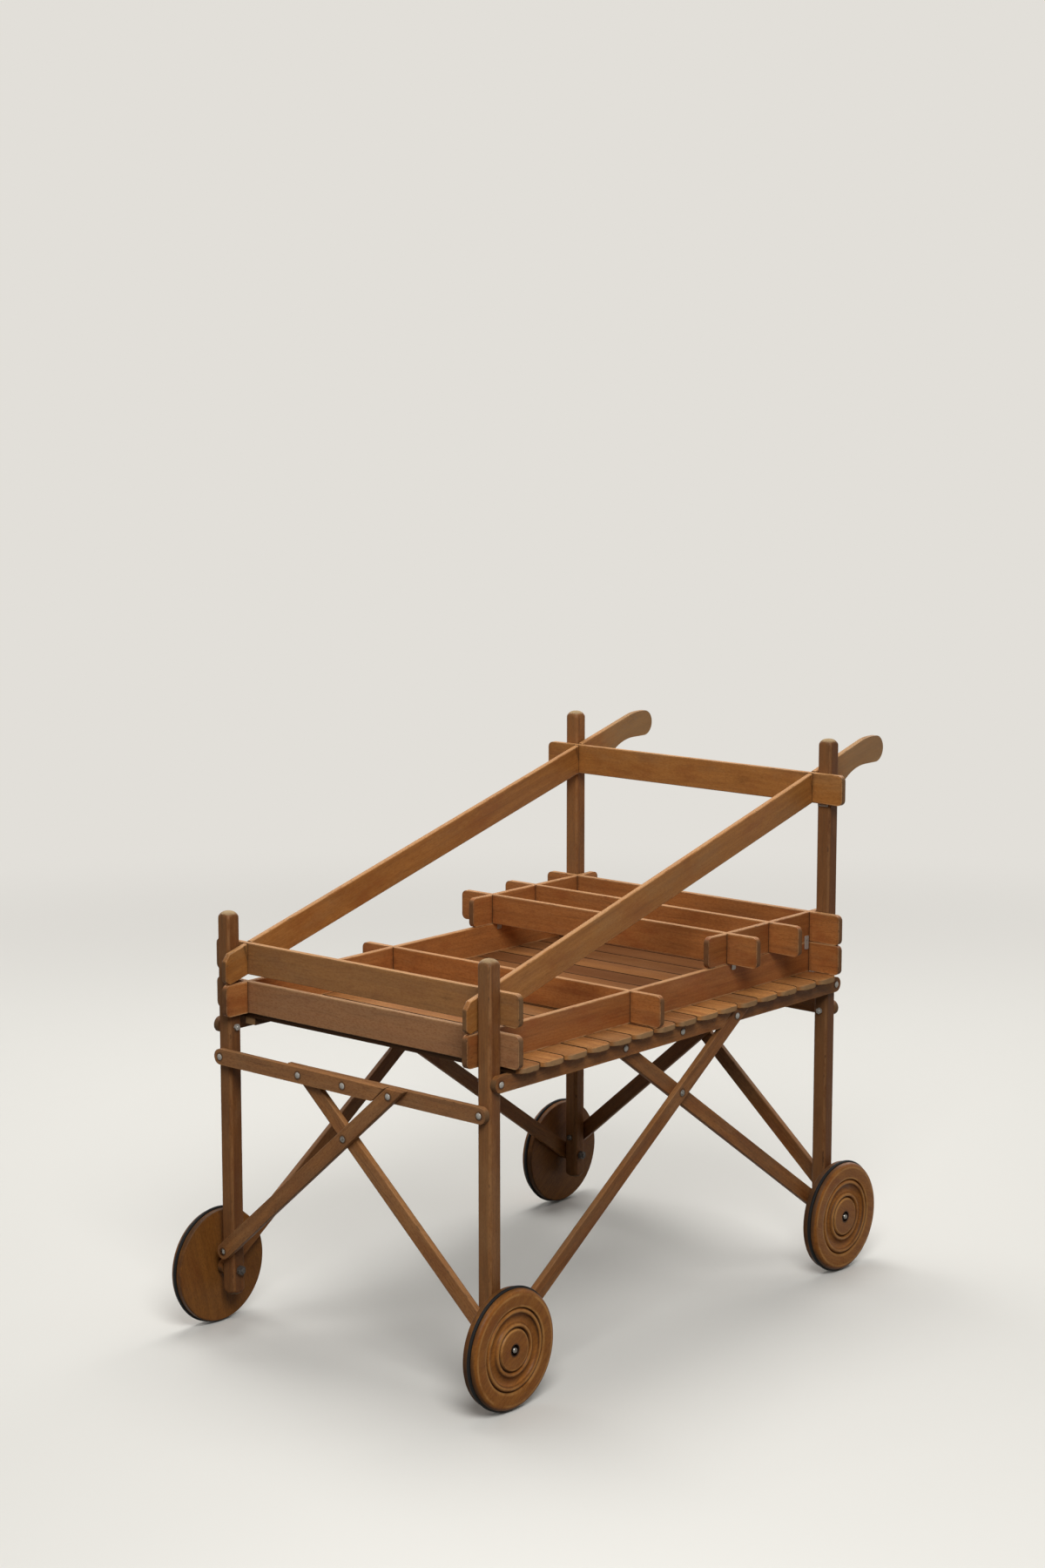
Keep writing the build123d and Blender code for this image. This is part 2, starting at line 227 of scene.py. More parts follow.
# Sizes of the grain's and the wear's features, in millimetres
woodScale = {
    "ring": 3.1, "ringWave": 16.0, "waveAcross": 30.0, "waveDeep": 22.0,
    "heart": 110.0, "heartDeep": 28.0, "heartSpread": 60.0,  # how far off the tree's heart is
    "edge": 2.0, "edgeWave": 4.0, "narrow": 0.4, "nick": 1.8,  # how far wear and the painted highlight reach in from an edge
    "end": 6.0, "endWave": 14.0, "splitFrom": 30.0, "splitTo": 160.0,  # and from a sawn end
    "innerFrom": 228.0, "innerTo": 240.0, "innerWave": 20.0,  # where a slat goes under the tray's sides
    "rearShadeFrom": -200.0, "rearShadeTo": 0.0, "seam": 0.3, "seamWave": 0.5,  # painted shade: slats are darker towards the rear, under the rack
    "joint": 4.8, "jointFrom": 0.2, "jointLine": 0.9, "jointHalo": 7.0,  # half a crossing board, its shadow
    "broadFrom": 0.3, "broadTo": 0.9,  # joints show on the broad sides only
    "boltRim": 5.4, "boltHalo": 8.6, "boltWave": 6.0,  # painted shade and dirt round a bolt's head
    "crackFrom": 0.2, "crack": 1.0, "crackWave": 12.0, "crackFray": 3.0, "crackFade": 20.0,
    "cornerFrom": 16.0, "cornerTo": 18.0,  # the crack runs near one corner of the post
}
# Mottling: stretch along and across the grain, scale, detail and roughness
woodNoise = {
    "wave": (5.0, 9.0, 1.0, 2.0, 0.5),
    "clouds": (0.4, 1.0, 29.4118, 4.0, 0.62),
    "patches": (0.3, 0.8, 17.6471, 5.0, 0.66),
    "blotches": (16.0, 42.0, 1.0, 5.0, 0.7),
    "fine": (200.0, 460.0, 1.0, 3.0, 0.65),
    "rub": (26.0, 90.0, 1.0, 4.0, 0.7),
    "nicks": (60.0, 220.0, 1.0, 2.0, 0.5),
    "gaps": (7.0, 20.0, 1.0, 2.0, 0.5),
}
# Grain drawn out along the wood: length and width in millimetres, detail and roughness
woodGrain = {
    "figure": (260.0, 10.0, 3.0, 0.55),
    "fibre": (45.0, 1.25, 3.0, 0.6),
    "pore": (4.5, 0.55, 1.0, 0.5),     # short dark flecks of beech
    "streak": (150.0, 3.4, 2.0, 0.5),
    "split": (80.0, 2.2, 2.0, 0.5),
}
# Values of the noise where each feature starts and where it is full
woodLimits = {
    "figure": (0.28, 0.72), "pore": (0.58, 0.72), "stain": (0.56, 0.82), "clouds": (0.46, 0.72),
    "age": (0.48, 0.70), "rubbed": (0.49, 0.64), "fineDark": (0.46, 0.66), "finePale": (0.56, 0.76),
    "streak": (0.57, 0.70), "endGrain": (0.50, 0.95), "endGrey": (0.35, 0.65), "rub": (0.34, 0.58),
    "nicks": (0.64, 0.70), "split": (0.0, 0.01), "gaps": (0.52, 0.62), "halo": (0.30, 0.62),
    "cap": (0.10, 0.55),
}
# How strongly each layer shows in the colour, the roughness and the relief
woodShares = {
    "figure": 0.36, "fibre": 0.42, "rings": 0.10, "patches": 0.5, "red": 0.50, "pores": 0.40, "stain": 0.34,
    "fineDark": 0.34, "finePale": 0.10, "creep": 0.42, "endGrey": 0.35, "end": 0.80, "nicks": 0.60,
    "split": 0.75, "seam": 0.85, "halo": 0.38, "joint": 0.85, "bolt": 0.62, "crack": 0.60,
    "slatFront": 0.30, "slatTint": 0.62, "slatPatches": 0.50, "slatLeast": 0.24,
}
woodRough = {"fibre": 0.16, "end": 0.20, "stain": 0.12, "patches": 0.25, "edge": 0.08}
woodRelief = {
    "fibre": 0.55, "pores": 0.35, "rings": 0.10, "stain": 0.15, "nicks": 1.2, "split": 1.5, "crack": 1.0,
    "depth": 0.12,
}
seedReach = (9.1, 5.3, 3.7)    # how far apart two pieces' noise is, in metres


# The wood's attributes: grain is the place in the piece with X along the grain, half its half sizes, tone
# its tint, seed and edge offset, along the grain's direction, shade how pale (painted light), red and dark
# it is, joints and boltsAt where boards and bolts cross it, postEnd a crack's length and the share of the
# pale cap.
def woodColour(sheet, look, turned=False, jointed=False, bolted=False):
    size = {name: value * mm for name, value in woodScale.items()}
    share = woodShares
    limits = woodLimits
    grain = sheet.attribute("grain")
    tint, seed, offset = sheet.parts(sheet.attribute("tone"))
    place = sheet.vector("ADD", grain, sheet.join(*[seed * reach for reach in seedReach]))
    u, v, w = sheet.parts(grain)
    halfU, halfV, halfW = sheet.parts(sheet.attribute("half"))

    def mottle(name):
        along, across, scale, detail, rough = woodNoise[name]
        return sheet.noise(sheet.vector("MULTIPLY", place, (along, across, across)), scale, detail, rough)

    def drawn(name):
        long, wide, detail, rough = woodGrain[name]
        scale = (1 / (long * mm), 1 / (wide * mm), 1 / (wide * mm))
        return sheet.noise(sheet.vector("MULTIPLY", bent, scale), 1.0, detail, rough)

    # the grain runs in slow waves, not in straight lines
    wave = mottle("wave")
    sway = sheet.join(0.0, (wave - 0.5) * size["waveAcross"], (wave - 0.5) * size["waveDeep"])
    bent = sheet.vector("ADD", place, sway)
    heartV = v + (seed - 0.5) * size["heart"]
    heartW = w + size["heartDeep"] + tint * size["heartSpread"]
    radius = (heartV * heartV + heartW * heartW) ** 0.5 + wave * size["ringWave"]
    rings = (radius * (2 * math.pi / size["ring"])).math("SINE") * 0.5 + 0.5
    figure = drawn("figure")
    fibre = drawn("fibre")
    pores = drawn("pore").step(*limits["pore"])
    patches = mottle("patches")
    # blotches mottle real stains and also the painted shade round joints, bolts and slats
    blotches = mottle("blotches")
    stain = blotches.step(*limits["stain"])
    fine = mottle("fine")
    paintedLight, reddened, darkened = sheet.parts(sheet.attribute("shade"))

    # the sawn end is darker and greyer, and dirt creeps in from it
    facing = (sheet.node("ShaderNodeTexCoord", None, (), "Normal"), sheet.attribute("along"))
    facing = sheet.node("ShaderNodeVectorMath", {"operation": "DOT_PRODUCT"}, facing, "Value").size()
    endGrain = facing.step(*limits["endGrain"])
    fromEnd = halfU - u.size()
    if not turned:
        creep = (fromEnd + (blotches - 0.5) * size["endWave"]).fade(0.0, size["end"])
        endGrain = endGrain.most(creep * share["creep"])
    endColour = sheet.mix(look["end"], look["grey"], blotches.step(*limits["endGrey"]) * share["endGrey"])

    mixed = (figure.step(*limits["figure"]) - 0.5) * share["figure"] + (fibre - 0.5) * share["fibre"]
    mixed = (mixed + (rings - 0.5) * share["rings"]) * look["grainy"]
    mixed = mixed + (tint - 0.5) * look["spread"] + 0.50 + (patches - 0.5) * share["patches"]
    layers = [
        (look["red"], mottle("clouds").step(*limits["clouds"]) * share["red"]),
        (look["dark"], pores * share["pores"] * look["grainy"]),
        (look["grey"], patches.step(*limits["age"]) * look["age"]),
        (look["bareAndHighlight"], (1 - patches).step(*limits["rubbed"]) * look["rubbed"]),
        # painted light: the front pieces are made paler, for the light on their front faces
        (paintedLightWood, paintedLight),
        (look["red"], reddened),
        (dirtAndShade, darkened),
        (dirtAndShade, stain * share["stain"]),
        (look["dark"], fine.step(*limits["fineDark"]) * share["fineDark"]),
        (look["bareAndHighlight"], (1 - fine).step(*limits["finePale"]) * share["finePale"]),
        (dirtAndShade, drawn("streak").step(*limits["streak"]) * look["streaks"]),
        (endColour, endGrain * share["end"]),
    ]
    roughness = look["rough"] + (fibre - 0.5) * woodRough["fibre"] + endGrain * woodRough["end"]
    roughness = roughness + stain * woodRough["stain"] + (patches - 0.5) * woodRough["patches"]
    height = fibre * woodRelief["fibre"] - pores * woodRelief["pores"]
    height = height + rings * woodRelief["rings"] - stain * woodRelief["stain"]

    if not turned:
        # the distance to the nearest edge is the middle one of the three distances to the sides
        dV = halfV - v.size()
        dW = halfW - w.size()
        nearest = fromEnd.least(dV).most(fromEnd.most(dV).least(dW)) - offset
        rub = mottle("rub")
        edge = (nearest + (rub - 0.5) * size["edgeWave"]).fade(0.0, size["edge"]) * rub.step(*limits["rub"])
        # painted highlight: the narrow faces are made paler, for the light on the boards' top edges
        edge = edge.most(dV.fade(0.0, size["narrow"]) * (rub * 0.6 + 0.35))
        nicks = mottle("nicks").step(*limits["nicks"]) * nearest.fade(0.0, size["nick"])
        split = (drawn("split") - 0.5).size().fade(*limits["split"]) * mottle("gaps").step(*limits["gaps"])
        split = split * fromEnd.fade(size["splitFrom"], size["splitTo"])
        layers += [
            # wear and painted highlight along the edges
            (look["bareAndHighlight"], edge * look["wearAndHighlight"] * (1 - endGrain)),
            (dirtAndShade, nicks * share["nicks"]),
            (dirtAndShade, split * share["split"]),
        ]
        roughness = roughness + edge * woodRough["edge"]
        height = height - nicks * woodRelief["nicks"] - split * woodRelief["split"]
    if look["seam"]:
        x = sheet.parts(sheet.objectPlace())[0]
        # painted shade on the slats inside the tray, deepest towards the rear under the rack
        inner = (u.size() + (blotches - 0.5) * size["innerWave"]).fade(size["innerFrom"], size["innerTo"])
        rear = x.step(size["rearShadeFrom"], size["rearShadeTo"]) * (1 - share["slatFront"]) + share["slatFront"]
        innerShade = (1 - tint) * share["slatTint"] + patches * share["slatPatches"] + share["slatLeast"]
        # painted shade and dirt along the slats' long edges, in the gaps between them
        seam = (dV + (rub - 0.5) * size["seamWave"]).fade(size["seam"], look["seam"] * mm)
        layers.append((look["dark"], inner * rear * innerShade))
        layers.append((dirtAndShade, seam * share["seam"]))
    if jointed:
        for crossing in sheet.parts(sheet.attribute("joints")):
            gap = ((u - crossing).size() - size["joint"]).size()
            line = gap.fade(size["jointFrom"], size["jointLine"])
            halo = gap.fade(0.0, size["jointHalo"]) * blotches.step(*limits["halo"])
            broad = dW.fade(size["broadFrom"], size["broadTo"])
            layers.append((dirtAndShade, (halo * share["halo"]).most(line * share["joint"]) * broad))
    if bolted:
        # painted shade and dirt round each bolt's head
        for bolt in sheet.parts(sheet.attribute("boltsAt")):
            away = ((u - bolt) ** 2 + v * v) ** 0.5 + (blotches - 0.5) * size["boltWave"]
            layers.append((dirtAndShade, away.fade(size["boltRim"], size["boltHalo"]) * share["bolt"]))
        crackLength, cap = sheet.parts(sheet.attribute("postEnd"))[:2]
        line = v - w + (wave - 0.5) * size["crackWave"] + (rub - 0.5) * size["crackFray"]
        line = line.size().fade(size["crackFrom"], size["crack"])
        line = line * (0 - v - w).step(size["cornerFrom"], size["cornerTo"])
        line = line * (crackLength - fromEnd).step(0.0, size["crackFade"])
        layers.append((postCap, endGrain * cap * blotches.step(*limits["cap"])))
        layers.append((dirtAndShade, line * share["crack"]))
        height = height - line * woodRelief["crack"]
    return sheet.coats(sheet.mix(look["dark"], look["light"], mixed), layers), roughness, height


# Grips, greyed and polished by hands from one place to another along the rails
gripWear = {
    "from": 385.0, "to": 455.0, "wave": 60.0, "colour": paint(150, 122, 84), "share": 0.52, "polish": 0.06,
}


def woodMaterial(name):
    material, sheet = newMaterial(name)
    look = woodLooks[name]
    jointed = name in ("boardWood", "handleWood")
    colour, roughness, height = woodColour(sheet, look, jointed=jointed, bolted=name == "frameWood")
    if name == "handleWood":
        x = sheet.parts(sheet.objectPlace())[0]
        cloud = sheet.noise(sheet.attribute("grain"), 60.0, 4.0, 0.6)
        wavy = x + (cloud - 0.5) * (gripWear["wave"] * mm)
        handled = wavy.step(gripWear["from"] * mm, gripWear["to"] * mm)
        colour = sheet.mix(colour, gripWear["colour"], handled * gripWear["share"] * (cloud * 0.5 + 0.6))
        roughness = roughness - handled * gripWear["polish"]
    surface(sheet, colour, roughness, height, woodRelief["depth"], Specular_IOR_Level=look["gloss"])
    return material


# Turned face of the wheel: grooves (radius, width and depth of the painted shade and dirt), crests (radius)
# painted paler as highlights, in millimetres
wheelLook = {
    "grooves": ((31.6, 2.4, 0.95), (39.6, 1.5, 0.50), (46.4, 5.5, 0.42), (53.0, 1.4, 0.60),
                (60.2, 1.9, 0.95)),
    "crests": (28.8, 36.2, 55.8, 62.8, 80.0), "crestWidth": 3.0, "crestHighlightShare": 0.44,
    "recess": (7.8, 11.5), "recessShadeColour": paint(10, 8, 7), "recessShadeShare": 0.92, "face": (4.0, 6.0),
    "rim": (83.5, 87.0), "rimShare": 0.45, "backShade": 0.34, "toolMark": 0.7, "toolDepth": 0.12,
    "depth": 0.10,
}


def wheelMaterial(look):
    material, sheet = newMaterial("wheelWood")
    wood = woodLooks["wheelWood"]
    colour, roughness, height = woodColour(sheet, wood, True)
    grain = sheet.attribute("grain")
    u, v, w = sheet.parts(grain)
    radius = (u * u + v * v) ** 0.5
    blotches = sheet.noise(sheet.vector("MULTIPLY", grain, (40.0, 40.0, 40.0)), 1.0, 4.0, 0.6)
    near, far = [limit * mm for limit in look["face"]]
    inFace = w.step(near, far)
    inBack = (0 - w).step(near, far)
    layers = []
    # painted shade and dirt in the grooves
    for groove, width, depth in look["grooves"]:
        line = (radius - groove * mm).size().fade(0.0, width * mm)
        layers.append((dirtAndShade, line * inFace * (blotches * 0.6 + 0.4) * depth))
    # painted highlights on the crests
    for crest in look["crests"]:
        line = (radius - crest * mm).size().fade(0.0, look["crestWidth"] * mm)
        layers.append((wood["bareAndHighlight"], line * inFace * blotches.step(0.30, 0.6) * look["crestHighlightShare"]))
    recess, rim = [radius.step(look[name][0] * mm, look[name][1] * mm) for name in ("recess", "rim")]
    layers += [
        # painted shadow in the axle's recess
        (look["recessShadeColour"], (1 - recess) * inFace * look["recessShadeShare"]),
        # painted shade on the wheel's back face
        (dirtAndShade, inBack * (blotches * 0.6 + 0.7) * look["backShade"]),
        (dirtAndShade, rim * blotches.step(0.28, 0.58) * look["rimShare"]),
    ]
    marks = (radius * (2 * math.pi / (look["toolMark"] * mm))).math("SINE")
    height = height + marks * look["toolDepth"]
    colour = sheet.coats(colour, layers)
    surface(sheet, colour, roughness, height, look["depth"], Specular_IOR_Level=wood["gloss"])
    return material


# Zinc plated steel: nuts between the posts are painted dark with grime and painted shade
steelLook = {
    "bright": paint(132, 129, 124), "dull": paint(78, 74, 69), "rust": paint(70, 46, 30),
    "zinc": paint(168, 164, 156), "rustShare": 0.55, "zincShare": 0.8, "zincDull": 0.75, "shadeAndGrime": 0.72,
    "insideX": (-461.0, 372.0), "insideY": 247.0, "insideZ": (400.0, 405.0), "depth": 0.02,
}


def steelMaterial(look):
    material, sheet = newMaterial("steel")
    place = sheet.objectPlace()
    broad = sheet.noise(place, 260.0, 4.0, 0.6)
    fine = sheet.noise(place, 1400.0, 3.0, 0.6)
    rusty = sheet.noise(place, 420.0, 5.0, 0.7).step(0.60, 0.76)
    x, y, z = sheet.parts(place)
    lowX, highX = [limit * mm for limit in look["insideX"]]
    limitY = look["insideY"] * mm
    plated = z.step(*[limit * mm for limit in look["insideZ"]])
    inside = y.size().fade(limitY - mm, limitY + mm) * x.step(lowX, lowX + mm) * x.fade(highX, highX + mm)
    # painted shade and grime on the nuts between the posts
    shadeAndGrime = inside * (1 - plated) * look["shadeAndGrime"]
    colour = sheet.coats(look["dull"], [
        (look["bright"], broad.step(0.32, 0.62)),
        (look["rust"], rusty * look["rustShare"]),
        (dirtAndShade, shadeAndGrime),
        (look["zinc"], plated * look["zincShare"]),
    ])
    roughness = 0.24 + broad * 0.16 + rusty * 0.30 + shadeAndGrime * 0.4
    metal = (1 - rusty * 0.7) * (1 - shadeAndGrime) * (1 - plated * look["zincDull"])
    surface(sheet, colour, roughness, fine + rusty * 0.6, look["depth"], Metallic=metal)
    return material


rubberLook = {
    "black": paint(15, 15, 15), "dust": paint(62, 57, 50), "dusty": 0.22, "gloss": 0.2, "depth": 0.06,
}


def rubberMaterial(look):
    material, sheet = newMaterial("rubber")
    place = sheet.objectPlace()
    dust = sheet.noise(place, 38.0, 6.0, 0.66).step(0.50, 0.78)
    grit = sheet.noise(place, 900.0, 3.0, 0.6)
    colour = sheet.mix(look["black"], look["dust"], dust * look["dusty"])
    height = grit + dust * 0.5
    surface(sheet, colour, 0.62 + dust * 0.22, height, look["depth"], Specular_IOR_Level=look["gloss"])
    return material


materials = {name: woodMaterial(name) for name in woodLooks if name != "wheelWood"}
materials["wheelWood"] = wheelMaterial(wheelLook)
materials["steel"] = steelMaterial(steelLook)
materials["rubber"] = rubberMaterial(rubberLook)


def finishOf(node):
    return slotOf[node].replace("_w", "W")


for node, item in cadNodes.items():
    item.data.materials.clear()
    item.data.materials.append(materials[finishOf(node)])
print("wagon: materials made")


def linked(name, data):
    item = bpy.data.objects.new(name, data)
    bpy.context.scene.collection.objects.link(item)
    return item


# The mesh that an object's modifiers give; the object itself goes
def evaluated(holder):
    graph = bpy.context.evaluated_depsgraph_get()
    solid = holder.evaluated_get(graph)
    mesh = bpy.data.meshes.new_from_object(solid, preserve_all_data_layers=True, depsgraph=graph)
    bpy.data.objects.remove(holder)
    return mesh


def meshOf(shape, name):
    mesh = bpy.data.meshes.new(name)
    shape.to_mesh(mesh)
    shape.free()
    return mesh


# Reading the shape of a node from the frame
def mergedCopy(node):
    mesh = bmesh.new()
    mesh.from_mesh(cadNodes[node].data)
    bmesh.ops.remove_doubles(mesh, verts=mesh.verts, dist=1e-6)
    mesh.normal_update()
    return mesh


# Lists and dictionaries keep the order of the mesh here, so that each run gives the same result
def looseParts(mesh):
    left = dict.fromkeys(mesh.verts)
    found = []
    while left:
        part = [left.popitem()[0]]
        for vertex in part:
            for edge in vertex.link_edges:
                other = edge.other_vert(vertex)
                if other in left:
                    del left[other]
                    part.append(other)
        found.append(part)
    return found


def facesOf(part):
    return list(dict.fromkeys(face for vertex in part for face in vertex.link_faces))


# Exact normal of the largest flat side
def broadNormal(faces):
    areas = {}
    for face in faces:
        key = tuple(round(value, 2) for value in face.normal)
        total, best = areas.get(key, (0.0, face))
        if face.calc_area() > best.calc_area():
            best = face
        areas[key] = (total + face.calc_area(), best)
    return max(areas.values(), key=lambda entry: entry[0])[1].normal.copy()


# Loops of places round a plank's broad side: its holes first and its outline last
def sideLoops(faces, normal):
    level = max(face.calc_center_median().dot(normal) for face in faces)
    flat = {}
    for face in faces:
        if face.normal.dot(normal) > 0.9999 and level - face.calc_center_median().dot(normal) < 1e-5:
            flat[face] = True
    nextTo = {}
    for face in flat:
        for loop in face.loops:
            if len([other for other in loop.edge.link_faces if other in flat]) == 1:
                nextTo[loop.vert] = loop.link_loop_next.vert
    loops = []
    while nextTo:
        start, here = nextTo.popitem()
        places = [start.co.copy()]
        while here is not start:
            places.append(here.co.copy())
            here = nextTo.pop(here)
        loops.append(places)

    def reach(places):
        return sum((b - a).length for a, b in zip(places, places[1:]))

    return sorted(loops, key=reach)


# How far an outline turns at each of its corners
def turnsOf(outline):
    turns = []
    for before, here, after in zip(outline[-1:] + outline[:-1], outline, outline[1:] + outline[:1]):
        a = here - before
        b = after - here
        turns.append(math.atan2(a.x * b.y - a.y * b.x, a.dot(b)))
    return turns


slotTurn = -math.radians(45)    # a sharper turn to the right is a corner inside a slot


# Where the slots of a plank's outline are, along its length
def slotPlaces(outline):
    turns = turnsOf(outline)
    places = []
    for i, here in enumerate(outline):
        j = (i + 1) % len(outline)
        if turns[i] < slotTurn and turns[j] < slotTurn:
            places.append((here.x + outline[j].x) / 2)
    return sorted(places)


# Outline of a slat or a plate
def roundedRectangle(halfLong, halfWide, corner, steps):
    outline = []
    for quarterTurn, (signU, signV) in enumerate(((1, 1), (-1, 1), (-1, -1), (1, -1))):
        centre = Vector((signU * (halfLong - corner), signV * (halfWide - corner)))
        for step in range(steps + 1):
            angle = math.radians(90 * quarterTurn + 90 / steps * step)
            outline.append(centre + corner * Vector((math.cos(angle), math.sin(angle))))
    return outline


# A plank in its own axes: X along the grain, Z across its thickness, edges rounded except in its slots
def roundedPlank(outline, thickness, rounding, segments=3):
    count = len(outline)
    turns = turnsOf(outline)
    inner = [min(turns[i], turns[(i + 1) % count]) < slotTurn for i in range(count)]
    mesh = bmesh.new()
    low = [mesh.verts.new((p.x, p.y, -thickness / 2)) for p in outline]
    high = [mesh.verts.new((p.x, p.y, thickness / 2)) for p in outline]
    mesh.faces.new(high)
    mesh.faces.new(low[::-1])
    for i in range(count):
        j = (i + 1) % count
        mesh.faces.new((low[i], low[j], high[j], high[i]))
    edges = []
    for i in range(count):
        j = (i + 1) % count
        if not inner[i]:
            edges.append(mesh.edges.get((low[i], low[j])))
            edges.append(mesh.edges.get((high[i], high[j])))
        if abs(turns[i]) > math.radians(30) and not inner[i] and not inner[i - 1]:
            edges.append(mesh.edges.get((low[i], high[i])))
    bevel = {"offset_type": "OFFSET", "segments": segments, "profile": 0.5, "clamp_overlap": True}
    bmesh.ops.bevel(mesh, geom=edges, offset=rounding, affect="EDGES", **bevel)
    return meshOf(mesh, "plank")


# A vector attribute for each name: a list has a value for each vertex, anything else is one value for all
def setVectors(mesh, **columns):
    for name, values in columns.items():
        rows = values if isinstance(values, list) else [values] * len(mesh.vertices)
        layer = mesh.attributes.new(name, "FLOAT_VECTOR", "POINT")
        layer.data.foreach_set("vector", [number for row in rows for number in row])


# Smooth shading that keeps flat sides flat
def smoothed(mesh, angle=40):
    mesh.shade_smooth()
    mesh.set_sharp_from_angle(angle=math.radians(angle))
    holder = linked("holder", mesh)
    weighted = holder.modifiers.new("even", "WEIGHTED_NORMAL")
    weighted.keep_sharp = True
    return evaluated(holder)


def settle(name, mesh, *replaced):
    mesh.materials.clear()
    mesh.materials.append(materials[finishOf(replaced[0])])
    piece = linked(name, mesh)
    mesh.name = name
    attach(piece, bodyOf[replaced[0]])
    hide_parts(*replaced)


# Pieces that are paler, redder or darker than the rest: the share of each
# The paler share of the front pieces is painted light on their front faces; post_rear_right's darker share
# is painted shade
shades = {
    "tray_front": (0.42, 0.0, 0.06), "handle_cross_front": (0.18, 0.0, 0.16),
    "bar_front_left": (0.22, 0.0, 0.0), "bar_front_right": (0.22, 0.0, 0.0),
    "brace_front_left": (0.15, 0.0, 0.0), "brace_front_right": (0.15, 0.0, 0.0),
    "post_front_left": (0.04, 0.04, 0.16), "post_front_right": (0.0, 0.12, 0.18),
    "post_rear_left": (0.0, 0.40, 0.46), "post_rear_right": (0.0, 0.10, 0.10),
}
noShade = (0.0, 0.0, 0.0)
nowhere = (9.0, 9.0, 9.0)    # places along the grain that no piece reaches

# Flat wooden pieces: rounding of their edges in millimetres, by the start of the node's name
plankRounding = {"bar": 1.8, "brace": 1.8, "tray": 1.7, "rack": 1.7, "handle": 2.0, "floor_battens": 1.0}
wearShare = 0.3      # of the rounding, how far in the wear of an edge starts
longShare = 0.25     # of the longest side, from which another side counts as long
straightSlant = 0.02


def middleOf(values):
    return (min(values) + max(values)) / 2


def halfOf(values):
    return (max(values) - min(values)) / 2


# One plank of a node, with the places of its slots and bolts in its attributes
def plankFromPart(part, node, rounding, draw):
    faces = facesOf(part)
    normal = broadNormal(faces)
    *holes, loop = sideLoops(faces, normal)
    steps = [b - a for a, b in zip(loop, loop[1:] + loop[:1])]
    longest = max(steps, key=lambda step: step.length)
    along = longest.normalized()
    across = normal.cross(along)
    levels = [vertex.co.dot(normal) for vertex in part]
    outline = [Vector((place.dot(along), place.dot(across))) for place in loop]
    longSides = []
    for a, b in zip(outline, outline[1:] + outline[:1]):
        reach = (b - a).length
        if reach > longShare * longest.length and abs(b.y - a.y) < straightSlant * reach:
            longSides += [a.y, b.y]
    lengths = [place.x for place in outline]
    centre = Vector((middleOf(lengths), middleOf(longSides)))
    outline = [place - centre for place in outline]
    thickness = 2 * halfOf(levels)
    mesh = roundedPlank(outline, thickness, rounding * mm)
    bolts = sorted(sum(hole, Vector()).dot(along) / len(hole) - centre.x for hole in holes)
    setVectors(
        mesh,
        grain=[vertex.co.copy() for vertex in mesh.vertices],
        half=Vector((halfOf(lengths), halfOf(longSides), thickness / 2)),
        tone=(draw.random(), draw.random(), rounding * wearShare * mm),
        along=along,
        shade=shades.get(node, noShade),
        joints=(*slotPlaces(outline), *nowhere)[:3],
        boltsAt=(*bolts, *nowhere)[:3],
    )
    frameOfPlank = Matrix((along, across, normal)).transposed().to_4x4()
    frameOfPlank.translation = along * centre.x + across * centre.y + normal * middleOf(levels)
    mesh.transform(frameOfPlank)
    return mesh


def joined(meshes):
    if len(meshes) == 1:
        return meshes[0]
    holders = [linked("holder", mesh) for mesh in meshes]
    chosen = {"selected_editable_objects": holders, "selected_objects": holders}
    with bpy.context.temp_override(active_object=holders[0], **chosen):
        bpy.ops.object.join()
    mesh = holders[0].data
    bpy.data.objects.remove(holders[0])
    return mesh


draw = random.Random(11)
for node in sorted(cadNodes):
    starts = [start for start in plankRounding if node.startswith(start)]
    if starts and slotOf[node] != "steel":
        source = mergedCopy(node)
        planks = [plankFromPart(part, node, plankRounding[starts[0]], draw) for part in looseParts(source)]
        source.free()
        settle(node + "_wood", smoothed(joined(planks)), node)
print("wagon: planks made")


# Posts: square with flattened edges, both ends turned to a low dome
postLook = {
    "edge": 3.5, "easing": 1.1, "domeWidth": 32.0, "domeRound": 13.0, "domeSteps": 9, "flatSteps": 6,
    "edgeOffset": 2.6, "crack": 50.0, "cap": 0.85,
}


def postSection(half, look):
    corners = []
    for signX, signY, flip in ((1, 1, 0), (-1, 1, 1), (-1, -1, 0), (1, -1, 1)):
        pair = [(half, half - look["edge"]), (half - look["edge"], half)]
        for x, y in (pair[::-1] if flip else pair):
            corners.append(Vector((signX * x, signY * y)))
    section = []
    count = len(corners)
    for i, corner in enumerate(corners):
        before = (corners[i - 1] - corner).normalized() * look["easing"]
        after = (corners[(i + 1) % count] - corner).normalized() * look["easing"]
        section += [corner + before, corner + (before + after) * 0.2, corner + after]
        following = corners[(i + 1) % count]
        if (following - corner).length > 2 * look["edge"]:
            start = corner + after
            end = following - after
            section += [start.lerp(end, k / look["flatSteps"]) for k in range(1, look["flatSteps"])]
    return section


